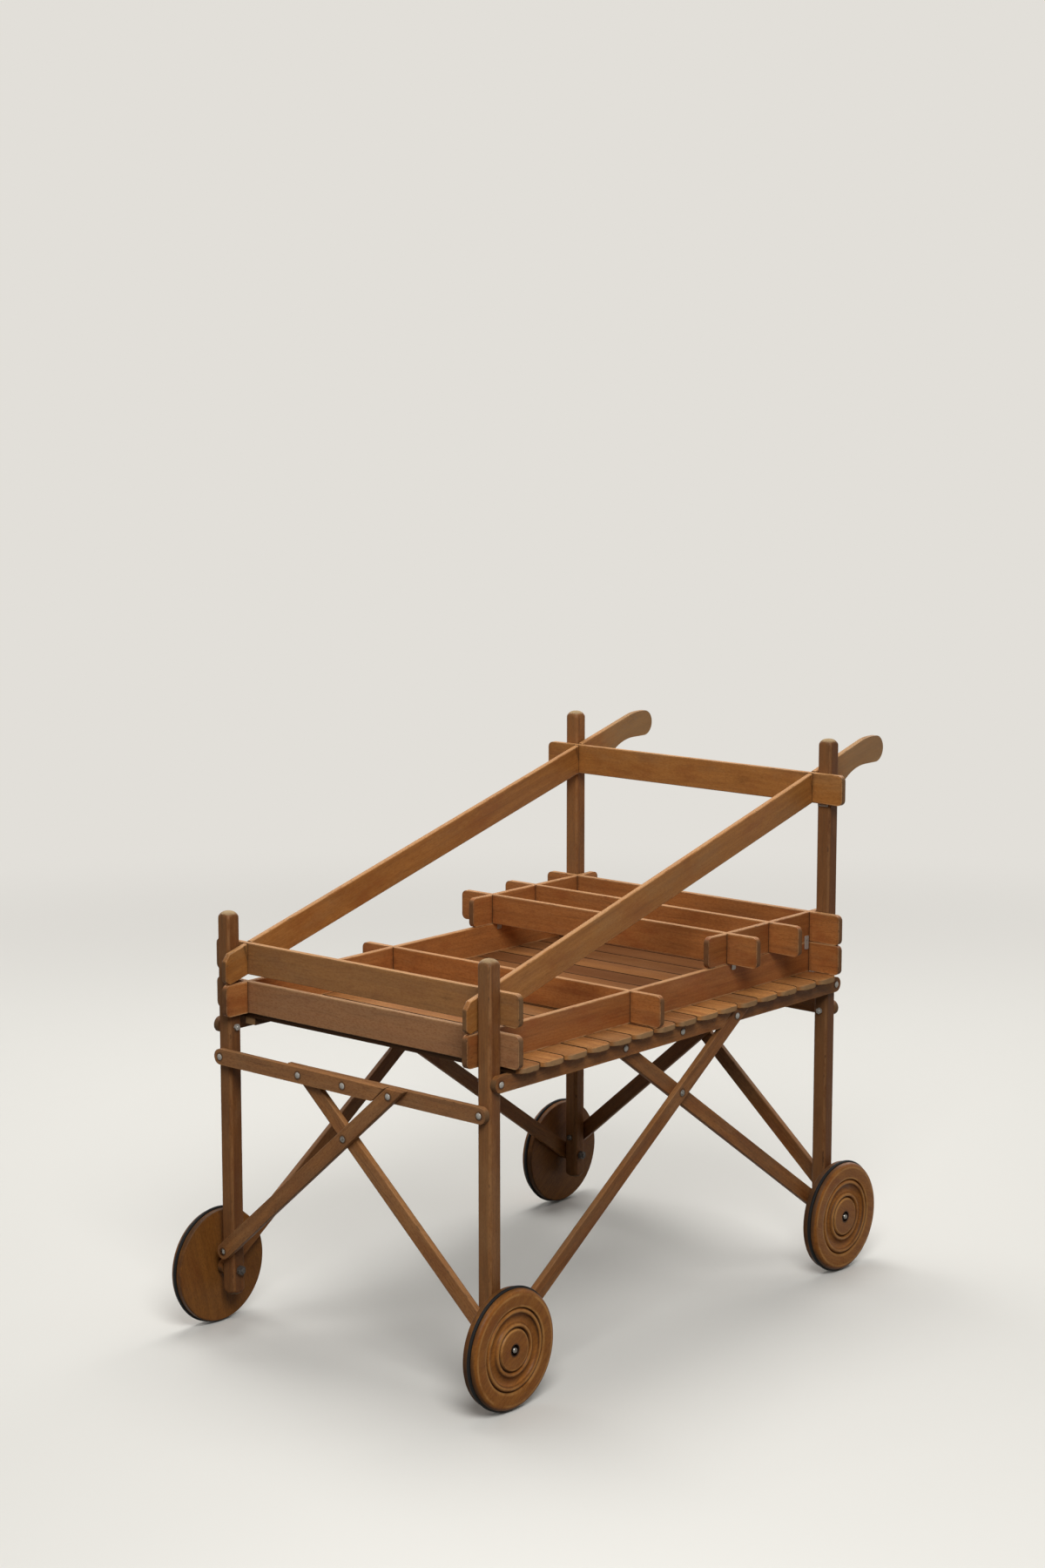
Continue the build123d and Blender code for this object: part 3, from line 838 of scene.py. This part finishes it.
def postFromNode(node, look, draw):
    low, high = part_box(node)
    centre = (low + high) / 2
    half = (high - low) / 2
    section = postSection(half.x / mm, look)
    dome = look["domeRound"]
    core = look["domeWidth"] / 2 - dome
    levels = []
    for step in range(look["domeSteps"]):
        angle = math.radians(90 * step / (look["domeSteps"] - 1))
        levels.append((half.z / mm - dome * (1 - math.cos(angle)), core + dome * math.sin(angle)))
    levels += [(-level, reach) for level, reach in reversed(levels)]
    post = bmesh.new()
    rows = []
    for level, reach in levels:
        ring = []
        for place in section:
            inside = place * min(1.0, reach / place.length)
            ring.append(post.verts.new(centre + Vector((inside.x, inside.y, level)) * mm))
        rows.append(ring)
    post.faces.new(rows[0])
    post.faces.new(rows[-1][::-1])
    for upper, lower in zip(rows, rows[1:]):
        for i in range(len(section)):
            post.faces.new((upper[i - 1], lower[i - 1], lower[i], upper[i]))
    bmesh.ops.recalc_face_normals(post, faces=post.faces)
    mesh = meshOf(post, node)
    places = [vertex.co - centre for vertex in mesh.vertices]
    crack = look["crack"] * mm if node == "post_front_left" else 0.0
    setVectors(
        mesh,
        boltsAt=nowhere,
        postEnd=(crack, look["cap"], 0.0),
        shade=shades.get(node, noShade),
        grain=[Vector((place.z, place.x, place.y)) for place in places],
        half=Vector((half.z, half.x, half.y)),
        tone=(draw.random(), draw.random(), look["edgeOffset"] * mm),
        along=(0, 0, 1),
    )
    return mesh


for node in sorted(cadNodes):
    if node.startswith("post_"):
        settle(node + "_wood", smoothed(postFromNode(node, postLook, draw), 30), node)
print("wagon: posts made")


# Geometry trees: a new group with named inputs, and a way to run one on a mesh
def newGroup(name, inputs):
    group = bpy.data.node_groups.new(name, "GeometryNodeTree")
    group.interface.new_socket("Geometry", in_out="INPUT", socket_type="NodeSocketGeometry")
    for label, kind in inputs:
        group.interface.new_socket(label, in_out="INPUT", socket_type="NodeSocket" + kind)
    group.interface.new_socket("Geometry", in_out="OUTPUT", socket_type="NodeSocketGeometry")
    sheet = NodeSheet(group)
    start = group.nodes.new("NodeGroupInput")
    return sheet, {socket.name: Wire(sheet, socket) for socket in start.outputs if socket.name}


def grown(sheet, seedMesh, settings):
    holder = linked("holder", seedMesh)
    modifier = holder.modifiers.new("nodes", "NODES")
    modifier.node_group = sheet.tree
    for item in sheet.tree.interface.items_tree:
        if item.item_type == "SOCKET" and item.in_out == "INPUT" and item.name in settings:
            modifier[item.identifier] = settings[item.name]
    return evaluated(holder)


def named(sheet, geometry, name, value, domain="POINT"):
    settings = {"data_type": "FLOAT_VECTOR", "domain": domain}
    values = {"Geometry": geometry, "Name": name, "Value": value}
    return sheet.node("GeometryNodeStoreNamedAttribute", settings, values)


def closeTree(sheet, geometry, material):
    real = sheet.node("GeometryNodeRealizeInstances", None, {"Geometry": geometry})
    last = sheet.node("GeometryNodeSetMaterial", None, {"Geometry": real, "Material": material})
    sheet.node("NodeGroupOutput", None, {"Geometry": last})


# Turned piece: the profile's points (radius on X, height on Z) swept round the Z axis
def turnedTree():
    inputs = [("Segments", "Int"), ("Grain Angle", "Float"), ("Tone", "Vector"), ("Half", "Vector")]
    sheet, given = newGroup("turnedPiece", inputs + [("Material", "Material")])
    profile = given["Geometry"]
    settings = {"component": "MESH"}
    count = sheet.node("GeometryNodeAttributeDomainSize", settings, {"Geometry": profile}, "Point Count")
    grid = {"Size X": 1.0, "Size Y": 1.0, "Vertices X": count, "Vertices Y": given["Segments"] + 1}
    sweep = sheet.node("GeometryNodeMeshGrid", None, grid)
    position = sheet.node("GeometryNodeInputPosition")
    across, around, level = sheet.parts(position)
    index = ((across + 0.5) * (count - 1) + 0.5).math("FLOOR")
    settings = {"data_type": "FLOAT_VECTOR", "domain": "POINT"}
    sample = {"Geometry": profile, "Value": position, "Index": index}
    radius, height = sheet.parts(sheet.node("GeometryNodeSampleIndex", settings, sample))[::2]
    angle = (around + 0.5) * (2 * math.pi)
    x = radius * angle.math("COSINE")
    y = radius * angle.math("SINE")
    moved = {"Geometry": sweep, "Position": sheet.join(x, y, height)}
    shell = sheet.node("GeometryNodeSetPosition", None, moved)
    shell = sheet.node("GeometryNodeMergeByDistance", None, {"Geometry": shell, "Distance": 1e-6})

    def rotated(vector, angle):
        values = {"Vector": vector, "Angle": angle}
        return sheet.node("ShaderNodeVectorRotate", {"rotation_type": "Z_AXIS"}, values)

    local = rotated(position, given["Grain Angle"] * -1)
    along = rotated((1, 0, 0), given["Grain Angle"])
    columns = {"grain": local, "along": along, "tone": given["Tone"], "half": given["Half"]}
    for name, value in columns.items():
        shell = named(sheet, shell, name, value)
    closeTree(sheet, shell, given["Material"])
    return sheet


# Parts set on points, each turned to face the way that its point's "out" says, with a random twist
def scatterTree():
    inputs = [("Part", "Object"), ("Twist", "Float"), ("Seed", "Int"), ("Material", "Material")]
    sheet, given = newGroup("setParts", inputs)
    part = sheet.node("GeometryNodeObjectInfo", None, {"Object": given["Part"]}, "Geometry")
    values = {0: (0, 0, -1), 1: (0, 0, 1), "Seed": given["Seed"]}
    chance = sheet.node("FunctionNodeRandomValue", {"data_type": "FLOAT_VECTOR"}, values)
    twist = sheet.vector("MULTIPLY", chance, sheet.join(0.0, 0.0, given["Twist"]))
    start = sheet.node("FunctionNodeEulerToRotation", None, (twist,))
    out = sheet.node("GeometryNodeInputNamedAttribute", {"data_type": "FLOAT_VECTOR"}, {"Name": "out"})
    values = {"Rotation": start, "Vector": out}
    facing = sheet.node("FunctionNodeAlignRotationToVector", {"axis": "Z"}, values)
    values = {"Points": given["Geometry"], "Instance": part, "Rotation": facing}
    placed = sheet.node("GeometryNodeInstanceOnPoints", None, values)
    closeTree(sheet, placed, given["Material"])
    return sheet


# A row of slats, each with its own tint, a small turn and a small shift
def slatTree():
    inputs = [("Count", "Int"), ("Start", "Float"), ("Pitch", "Float"), ("Shift", "Vector")]
    inputs += [("Turn", "Vector"), ("Seed", "Int"), ("Material", "Material")]
    sheet, given = newGroup("slatRow", inputs)
    start = sheet.join(given["Start"], 0.0, 0.0)
    step = sheet.join(given["Pitch"], 0.0, 0.0)
    values = {"Count": given["Count"], "Start Location": start, "Offset": step}
    line = sheet.node("GeometryNodeMeshLine", {"mode": "OFFSET"}, values)

    def chance(low, extra):
        values = {0: low, 1: (1, 1, 1), "Seed": given["Seed"] + extra}
        return sheet.node("FunctionNodeRandomValue", {"data_type": "FLOAT_VECTOR"}, values)

    moved = sheet.vector("MULTIPLY", chance((-1, -1, -1), 1), given["Shift"])
    line = sheet.node("GeometryNodeSetPosition", None, {"Geometry": line, "Offset": moved})
    turn = sheet.vector("MULTIPLY", chance((-1, -1, -1), 2), given["Turn"])
    turn = sheet.node("FunctionNodeEulerToRotation", None, (turn,))
    values = {"Points": line, "Instance": given["Geometry"], "Rotation": turn}
    row = sheet.node("GeometryNodeInstanceOnPoints", None, values)
    tone = sheet.vector("MULTIPLY", chance((0, 0, 1), 3), (1.0, 1.0, 0.3 * mm))
    row = named(sheet, row, "tone", tone, "INSTANCE")
    closeTree(sheet, row, given["Material"])
    return sheet


turned = turnedTree()
scatter = scatterTree()
slatRow = slatTree()


# Profile of a turned piece as a chain of points; sizes in millimetres
def chain(points):
    mesh = bpy.data.meshes.new("profile")
    places = [(radius * mm, 0.0, height * mm) for radius, height in points]
    mesh.from_pydata(places, [(i, i + 1) for i in range(len(places) - 1)], [])
    return mesh


def arcPoints(start, end, bulge, count):
    a = Vector(start)
    b = Vector(end)
    chord = b - a
    side = Vector((-chord.y, chord.x)).normalized()
    radius = (chord.length ** 2 / 4 + bulge ** 2) / (2 * abs(bulge))
    centre = (a + b) / 2 - side * math.copysign(radius - abs(bulge), bulge)
    first = (a - centre).angle_signed(Vector((1, 0)))
    sweep = (b - centre).angle_signed(a - centre)
    points = []
    for i in range(1, count + 1):
        angle = first + sweep * i / count
        points.append((centre.x + radius * math.cos(angle), centre.y + radius * math.sin(angle)))
    return points


def outwards(mesh):
    shape = bmesh.new()
    shape.from_mesh(mesh)
    bmesh.ops.recalc_face_normals(shape, faces=shape.faces)
    shape.to_mesh(mesh)
    shape.free()
    return mesh


def turnedMesh(points, segments, finish, grainAngle=0.0, tone=(0.5, 0.5, 0.0)):
    settings = {"Segments": segments, "Grain Angle": grainAngle, "Tone": tone}
    settings.update({"Half": (1.0, 1.0, 1.0), "Material": materials[finish]})
    return outwards(grown(turned, chain(points), settings))


# Wheels, as in the frame. Columns of the face: share of the wood's radius, depth and bulge.
wheelSizes = {
    "diameter": 180.0, "width": 24.0, "bore": 8.1, "ringProud": 2.8, "ringWidth": 5.4, "ringDepth": 3.0,
    "fit": 0.1, "rimRound": 7.0, "rimDepth": 1.2, "backEdge": 2.0, "recess": 16.0, "recessDepth": 6.0,
    "recessEdge": 0.8, "grooveEdge": 0.6, "ringRound": 2.6, "segments": 128, "grainTurn": (0.3, 2.8),
}
wheelFace = (
    (0.330, 1.5, 0.5), (0.360, 6.2, 0.0), (0.386, 2.2, 0.9), (0.440, 2.8, -1.3), (0.532, 7.6, -1.5),
    (0.611, 2.2, 1.3), (0.676, 3.0, 0.0), (0.690, 5.2, 0.0), (0.707, 1.8, 0.4),
)
sides = {"left": -1, "right": 1}


def quarter(centre, radius, start, end, count):
    points = []
    for i in range(count + 1):
        angle = math.radians(start + (end - start) * i / count)
        points.append((centre[0] + radius * math.cos(angle), centre[1] + radius * math.sin(angle)))
    return points


def wheelProfile(size):
    half = size["width"] / 2
    wood = size["diameter"] / 2 - size["ringProud"]
    groove = size["ringWidth"] / 2 + size["fit"]
    floorRadius = wood - size["ringDepth"] - size["fit"]
    rim = min(size["rimRound"], half - size["rimDepth"] - groove)
    recess = size["recess"] / 2
    face = [(share * wood, half - depth) for share, depth, bulge in wheelFace]
    face.append((wood - rim, half - size["rimDepth"]))
    points = [(size["bore"] / 2, half - size["recessDepth"]), (recess, half - size["recessDepth"])]
    edge = size["recessEdge"]
    points += quarter((recess + edge, face[0][1] - edge), edge, 180, 90, 4)
    points.append(face[0])
    for start, end, row in zip(face, face[1:], wheelFace):
        points += arcPoints(start, end, row[2], 12) if row[2] else [end]
    points += quarter((wood - rim, half - size["rimDepth"] - rim), rim, 90, 0, 10)[1:]
    edge = size["grooveEdge"]
    points += quarter((wood - edge, groove + edge), edge, 0, -90, 3)
    points += [(floorRadius, groove), (floorRadius, -groove)]
    points += quarter((wood - edge, -groove - edge), edge, 90, 0, 3)
    back = size["backEdge"]
    points += quarter((wood - back, -half + back), back, 0, -90, 5)
    points += [(size["bore"] / 2, -half), points[0]]
    return points


def ringProfile(size):
    outer = size["diameter"] / 2
    inner = outer - size["ringProud"] - size["ringDepth"]
    half = size["ringWidth"] / 2
    edge = size["ringRound"]
    points = [(inner, half)]
    points += quarter((outer - edge, half - edge), edge, 90, 0, 6)
    points += quarter((outer - edge, -half + edge), edge, 0, -90, 6)
    return points + [(inner, -half), (inner, half)]


# The grain's direction turns with the mesh
def turnAlong(mesh, place):
    layer = mesh.attributes["along"]
    directions = [place.to_3x3() @ entry.vector for entry in layer.data]
    layer.data.foreach_set("vector", [number for value in directions for number in value])


def makeWheels(size, draw):
    face = wheelProfile(size)
    tread = ringProfile(size)
    for end in ("front", "rear"):
        for side, sign in sides.items():
            wheel, ring = f"wheel_{end}_{side}", f"ring_{end}_{side}"
            low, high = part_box(wheel)
            centre = (low + high) / 2
            back = min(abs(low.y), abs(high.y))
            hub = Vector((centre.x, sign * (back + size["width"] / 2 * mm), centre.z))
            place = Matrix.Translation(hub) @ Matrix.Rotation(math.radians(-90 * sign), 4, "X")
            tone = (draw.random(), draw.random(), 0.0)
            disc = turnedMesh(face, size["segments"], "wheelWood", draw.uniform(*size["grainTurn"]), tone)
            turnAlong(disc, place)
            disc.transform(place)
            settle(wheel + "_wood", smoothed(disc, 28), wheel)
            tyre = turnedMesh(tread, size["segments"], "rubber")
            tyre.transform(place)
            settle(ring + "_rubber", smoothed(tyre, 50), ring)


makeWheels(wheelSizes, draw)
print("wagon: wheels made")


# Floor: one slat with rounded ends, set in a row
slatSizes = {
    "count": 15, "corner": 14.0, "gap": 2.0, "seam": 2.4, "rounding": 1.3, "reach": 3.0,
    "shift": (0.3, 1.6, 0.15), "shiftShare": 0.9, "turn": 0.10,
}


def makeSlats(size):
    low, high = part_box("floor_slats")
    low.x -= size["reach"] * mm
    high.x += size["reach"] * mm
    pitch = (high.x - low.x + size["gap"] * mm) / size["count"]
    halfWide = (pitch - size["seam"] * mm) / 2
    halfLong = (high.y - low.y) / 2 - size["shift"][1] * mm
    thickness = high.z - low.z - 2 * size["shift"][2] * mm
    outline = roundedRectangle(halfLong, halfWide, size["corner"] * mm, 6)
    mesh = roundedPlank(outline, thickness, size["rounding"] * mm)
    grain = [vertex.co.copy() for vertex in mesh.vertices]
    setVectors(mesh, grain=grain, half=(halfLong, halfWide, thickness / 2), along=(0, 1, 0))
    mesh.transform(Matrix.Rotation(math.radians(90), 4, "Z"))
    mesh.transform(Matrix.Translation((0, 0, (low.z + high.z) / 2)))
    settings = {
        "Count": size["count"],
        "Start": low.x + (pitch - size["gap"] * mm) / 2,
        "Pitch": pitch,
        "Shift": Vector(size["shift"]) * mm * size["shiftShare"],
        "Turn": (0.0, 0.0, math.radians(size["turn"])),
        "Seed": 5,
        "Material": materials["floorWood"],
    }
    settle("floor_slats_wood", smoothed(grown(slatRow, mesh, settings)), "floor_slats")


makeSlats(slatSizes)
print("wagon: floor made")


# Bolts and axles: one turned part with its hexagon nut for each kind, set where the frame has them
boltSizes = {
    "shank": 5.0, "head": 9.4, "headHeight": 2.5, "side": 0.4, "nut": 9.0, "nutHeight": 4.0, "end": 1.0,
    "tipEdge": 0.8, "nutEdge": 0.35, "segments": 32,
}
axleSizes = {
    "shank": 8.0, "head": 9.2, "headHeight": 6.5, "side": 2.2, "nut": 13.0, "nutHeight": 6.5, "end": 2.0,
    "tipEdge": 0.8, "nutEdge": 0.35, "segments": 48,
    "washer": 18.0, "washerHeight": 2.5, "washerEdge": 0.5, "washerGap": 0.15,
}
headEdge = 0.25


def domeProfile(size):
    radius = size["head"] / 2
    rise = size["headHeight"] - size["side"]
    ball = (radius ** 2 + rise ** 2) / (2 * rise)
    reach = math.degrees(math.asin(radius / ball))
    points = quarter((0, size["headHeight"] - ball), ball, 90, 90 - reach, 10)
    return points + quarter((radius - headEdge, headEdge), headEdge, 0, -90, 3)


def boltPart(name, size, grip, washerAt=None):
    end = -grip - size["nutHeight"] - size["end"]
    shank = size["shank"] / 2
    points = domeProfile(size) + [(shank, 0)]
    if washerAt is not None:
        top = washerAt + size["washerHeight"] / 2
        low = washerAt - size["washerHeight"] / 2
        edge = size["washerEdge"]
        reach = size["washer"] / 2 - edge
        points.append((shank, top))
        points += quarter((reach, top - edge), edge, 90, 0, 3)
        points += quarter((reach, low + edge), edge, 0, -90, 3)
        points.append((shank, low))
    tip = size["tipEdge"]
    points += [(shank, end + tip), (shank - tip, end), (0, end)]
    body = turnedMesh(points, size["segments"], "steel")
    nut = bmesh.new()
    radius = size["nut"] / math.sqrt(3) * mm
    place = Matrix.Translation((0, 0, (-grip - size["nutHeight"] / 2) * mm))
    cone = {"segments": 6, "radius1": radius, "radius2": radius, "depth": size["nutHeight"] * mm}
    bmesh.ops.create_cone(nut, cap_ends=True, matrix=place, **cone)
    edge = size["nutEdge"] * mm
    bmesh.ops.bevel(nut, geom=nut.edges, offset=edge, segments=2, profile=0.5, affect="EDGES")
    return linked(name, smoothed(joined([body, meshOf(nut, "nut")]), 35))


# Where the frame has a bolt: the underside of its head, the way it faces, and its whole length
def boltPlaces(node, facing, headHeight):
    source = mergedCopy(node)
    found = []
    for part in looseParts(source):
        normal = broadNormal(facesOf(part))
        if normal.dot(facing) < 0:
            normal.negate()
        levels = [vertex.co.dot(normal) for vertex in part]
        centre = sum((vertex.co for vertex in part), Vector()) / len(part)
        centre += normal * (max(levels) - headHeight * mm - centre.dot(normal))
        found.append((centre, normal, (max(levels) - min(levels)) / mm))
    source.free()
    return found


def setOnPoints(name, part, rows, seed, *replaced):
    mesh = bpy.data.meshes.new("points")
    mesh.from_pydata([row[0] for row in rows], [], [])
    setVectors(mesh, out=[row[1] for row in rows])
    settings = {"Part": part, "Twist": math.pi, "Seed": seed, "Material": materials["steel"]}
    result = grown(scatter, mesh, settings)
    bpy.data.objects.remove(part)
    settle(name, result, *replaced)


facings = {"front": (-1, 0, 0), "rear": (1, 0, 0), "left": (0, -1, 0), "right": (0, 1, 0)}


def makeBolts(size):
    for kind in ("bolts", "pivots"):
        rows = []
        for side, facing in facings.items():
            rows += boltPlaces(f"{kind}_{side}", Vector(facing), size["headHeight"])
        grip = rows[0][2] - size["headHeight"] - size["nutHeight"]
        part = boltPart(kind + "Part", size, grip)
        setOnPoints(f"{kind}_steel", part, rows, 3, *[f"{kind}_{side}" for side in facings])


def makeAxles(size):
    rows = []
    replaced = []
    for end in ("front", "rear"):
        for side in sides:
            replaced.append(f"axle_{end}_{side}")
            low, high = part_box(replaced[-1])
            out = Vector(facings[side])
            tip = high.y if side == "right" else low.y
            centre = (low + high) / 2
            place = Vector((centre.x, tip - out.y * size["headHeight"] * mm, centre.z))
            rows.append((place, out, (high.y - low.y) / mm))
    grip = rows[0][2] - size["headHeight"] - size["nutHeight"] - size["end"]
    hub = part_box("wheel_rear_right")[0].y
    washerAt = (hub - rows[-1][0].y) / mm - size["washerGap"] - size["washerHeight"] / 2
    setOnPoints("axles_steel", boltPart("axlePart", size, grip, washerAt), rows, 8, *replaced)


makeBolts(boltSizes)
makeAxles(axleSizes)
print("wagon: bolts and axles made")


# Small plates that keep the rack on the tray, each with a screw near its top
plateSizes = {
    "corner": 2.0, "rounding": 0.3, "screw": 5.0, "screwHeight": 0.9, "screwSide": 0.2, "screwDown": 5.0,
    "screwSunk": 0.1,
}


def makePlates(size):
    boards = {side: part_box(f"rack_side_{side}") for side in sides}
    source = mergedCopy("rack_plates")
    places = []
    for part in looseParts(source):
        spans = [[vertex.co[axis] for vertex in part] for axis in range(3)]
        centre = Vector([middleOf(span) for span in spans])
        board = boards["right" if centre.y > 0 else "left"]
        out = Vector((0, math.copysign(1, centre.y - (board[0].y + board[1].y) / 2), 0))
        place = Matrix((-out.cross(Vector((0, 0, 1))), Vector((0, 0, 1)), out)).transposed().to_4x4()
        place.translation = centre
        places.append(place)
    source.free()
    halfLong, halfThick, halfHigh = [halfOf(span) for span in spans]
    outline = roundedRectangle(halfLong, halfHigh, size["corner"] * mm, 4)
    plate = roundedPlank(outline, 2 * halfThick, size["rounding"] * mm, 2)
    screw = {"head": size["screw"], "headHeight": size["screwHeight"], "side": size["screwSide"]}
    screw = turnedMesh(domeProfile(screw) + [(0, 0)], 24, "steel")
    up, out = halfHigh - size["screwDown"] * mm, halfThick - size["screwSunk"] * mm
    screw.transform(Matrix.Translation((0, up, out)))
    part = smoothed(joined([plate, screw]), 35)
    copies = [part.copy() for place in places]
    for copied, place in zip(copies, places):
        copied.transform(place)
    settle("rack_plates_steel", joined(copies), "rack_plates")


makePlates(plateSizes)
print("wagon: plates made")


# Floor that the wagon stands on: colours, and distances in metres
stageLook = {
    "floor": paint(222, 220, 214), "bounce": paint(74, 72, 69), "far": paint(226, 223, 217),
    "clearRadius": 1.5, "fadeTo": 4.0, "reach": 40.0,
}


# 1 for what the camera, a reflection or glass sees, and 0 for light on its way to the object
def seenRays(sheet):
    rays = sheet.node("ShaderNodeLightPath", None, (), "Is Camera Ray").socket.node.outputs
    seen = Wire(sheet, rays["Is Camera Ray"]).most(Wire(sheet, rays["Is Glossy Ray"]))
    return seen.most(Wire(sheet, rays["Is Transmission Ray"]))


def makeStage(look):
    mesh = bpy.data.meshes.new("stageFloor")
    signs = ((-1, -1), (1, -1), (1, 1), (-1, 1))
    mesh.from_pydata([(x * look["reach"], y * look["reach"], 0) for x, y in signs], [], [(0, 1, 2, 3)])
    floor = linked("stageFloor", mesh)
    material, sheet = newMaterial("paleFloor")
    seen = seenRays(sheet)
    place = sheet.objectPlace()
    away = sheet.node("ShaderNodeVectorMath", {"operation": "LENGTH"}, (place,), "Value")
    colour = sheet.mix(look["bounce"], look["floor"], seen)
    lit = sheet.node("ShaderNodeBsdfDiffuse", None, {"Color": colour})
    plain = sheet.node("ShaderNodeEmission", None, {"Color": look["far"], "Strength": 1.0})
    fade = away.step(look["clearRadius"], look["fadeTo"]) * seen
    mixed = sheet.node("ShaderNodeMixShader", None, {0: fade, 1: lit, 2: plain})
    sheet.node("ShaderNodeOutputMaterial", None, {"Surface": mixed})
    mesh.materials.append(material)


worldLook = {"seen": paint(226, 223, 217), "light": paint(255, 253, 250), "strength": 0.19}


def makeWorld(look):
    world = bpy.data.worlds.new("studio")
    bpy.context.scene.world = world
    world.use_nodes = True
    world.node_tree.nodes.clear()
    sheet = NodeSheet(world.node_tree)
    plain = sheet.node("ShaderNodeBackground", None, {"Color": look["seen"], "Strength": 1.0})
    light = sheet.node("ShaderNodeBackground", None, {"Color": look["light"], "Strength": look["strength"]})
    mixed = sheet.node("ShaderNodeMixShader", None, {0: seenRays(sheet), 1: light, 2: plain})
    sheet.node("ShaderNodeOutputWorld", None, {"Surface": mixed})


# Place, the point that it looks at and width of each soft lamp in metres, and its power in watts
lamps = {
    "keyLamp": {"at": (-2.05, -2.0, 2.8), "to": (0.0, 0.0, 0.4), "wide": 1.8, "watts": 92.0},
    "topLamp": {"at": (0.5, 0.8, 3.5), "to": (0.0, 0.0, 0.4), "wide": 2.2, "watts": 58.0},
    "sideLamp": {"at": (2.6, -2.4, 1.6), "to": (0.0, 0.0, 0.5), "wide": 1.8, "watts": 6.0},
    "rearLamp": {"at": (3.2, 0.3, 2.2), "to": (0.0, 0.0, 0.4), "wide": 2.0, "watts": 32.0},
    "farLamp": {"at": (0.5, 3.3, 2.2), "to": (0.0, 0.0, 0.4), "wide": 2.0, "watts": 32.0},
}


def makeLamps():
    for name, row in lamps.items():
        light = bpy.data.lights.new(name, "AREA")
        light.shape = "DISK"
        light.size = row["wide"]
        light.energy = row["watts"]
        lamp = linked(name, light)
        lamp.location = row["at"]
        lamp.rotation_euler = (Vector(row["to"]) - Vector(row["at"])).to_track_quat("-Z", "Y").to_euler()


# Solved from the photograph: place in metres, angles in degrees, lens and sensor in millimetres
cameraSizes = {
    "at": (-3.498635, -2.900509, 1.529539), "down": 9.017373, "turn": -49.702424,
    "lens": 68.352, "sensor": 36.0,
}


def makeCamera(size):
    data = bpy.data.cameras.new("camera")
    data.lens = size["lens"]
    data.sensor_width = size["sensor"]
    camera = linked("camera", data)
    camera.location = size["at"]
    camera.rotation_euler = (math.radians(90 - size["down"]), 0.0, math.radians(size["turn"]))
    bpy.context.scene.camera = camera


makeStage(stageLook)
makeWorld(worldLook)
makeLamps()
makeCamera(cameraSizes)
bpy.context.scene.view_settings.view_transform = "Standard"
print("wagon: stage, lamps and camera made")
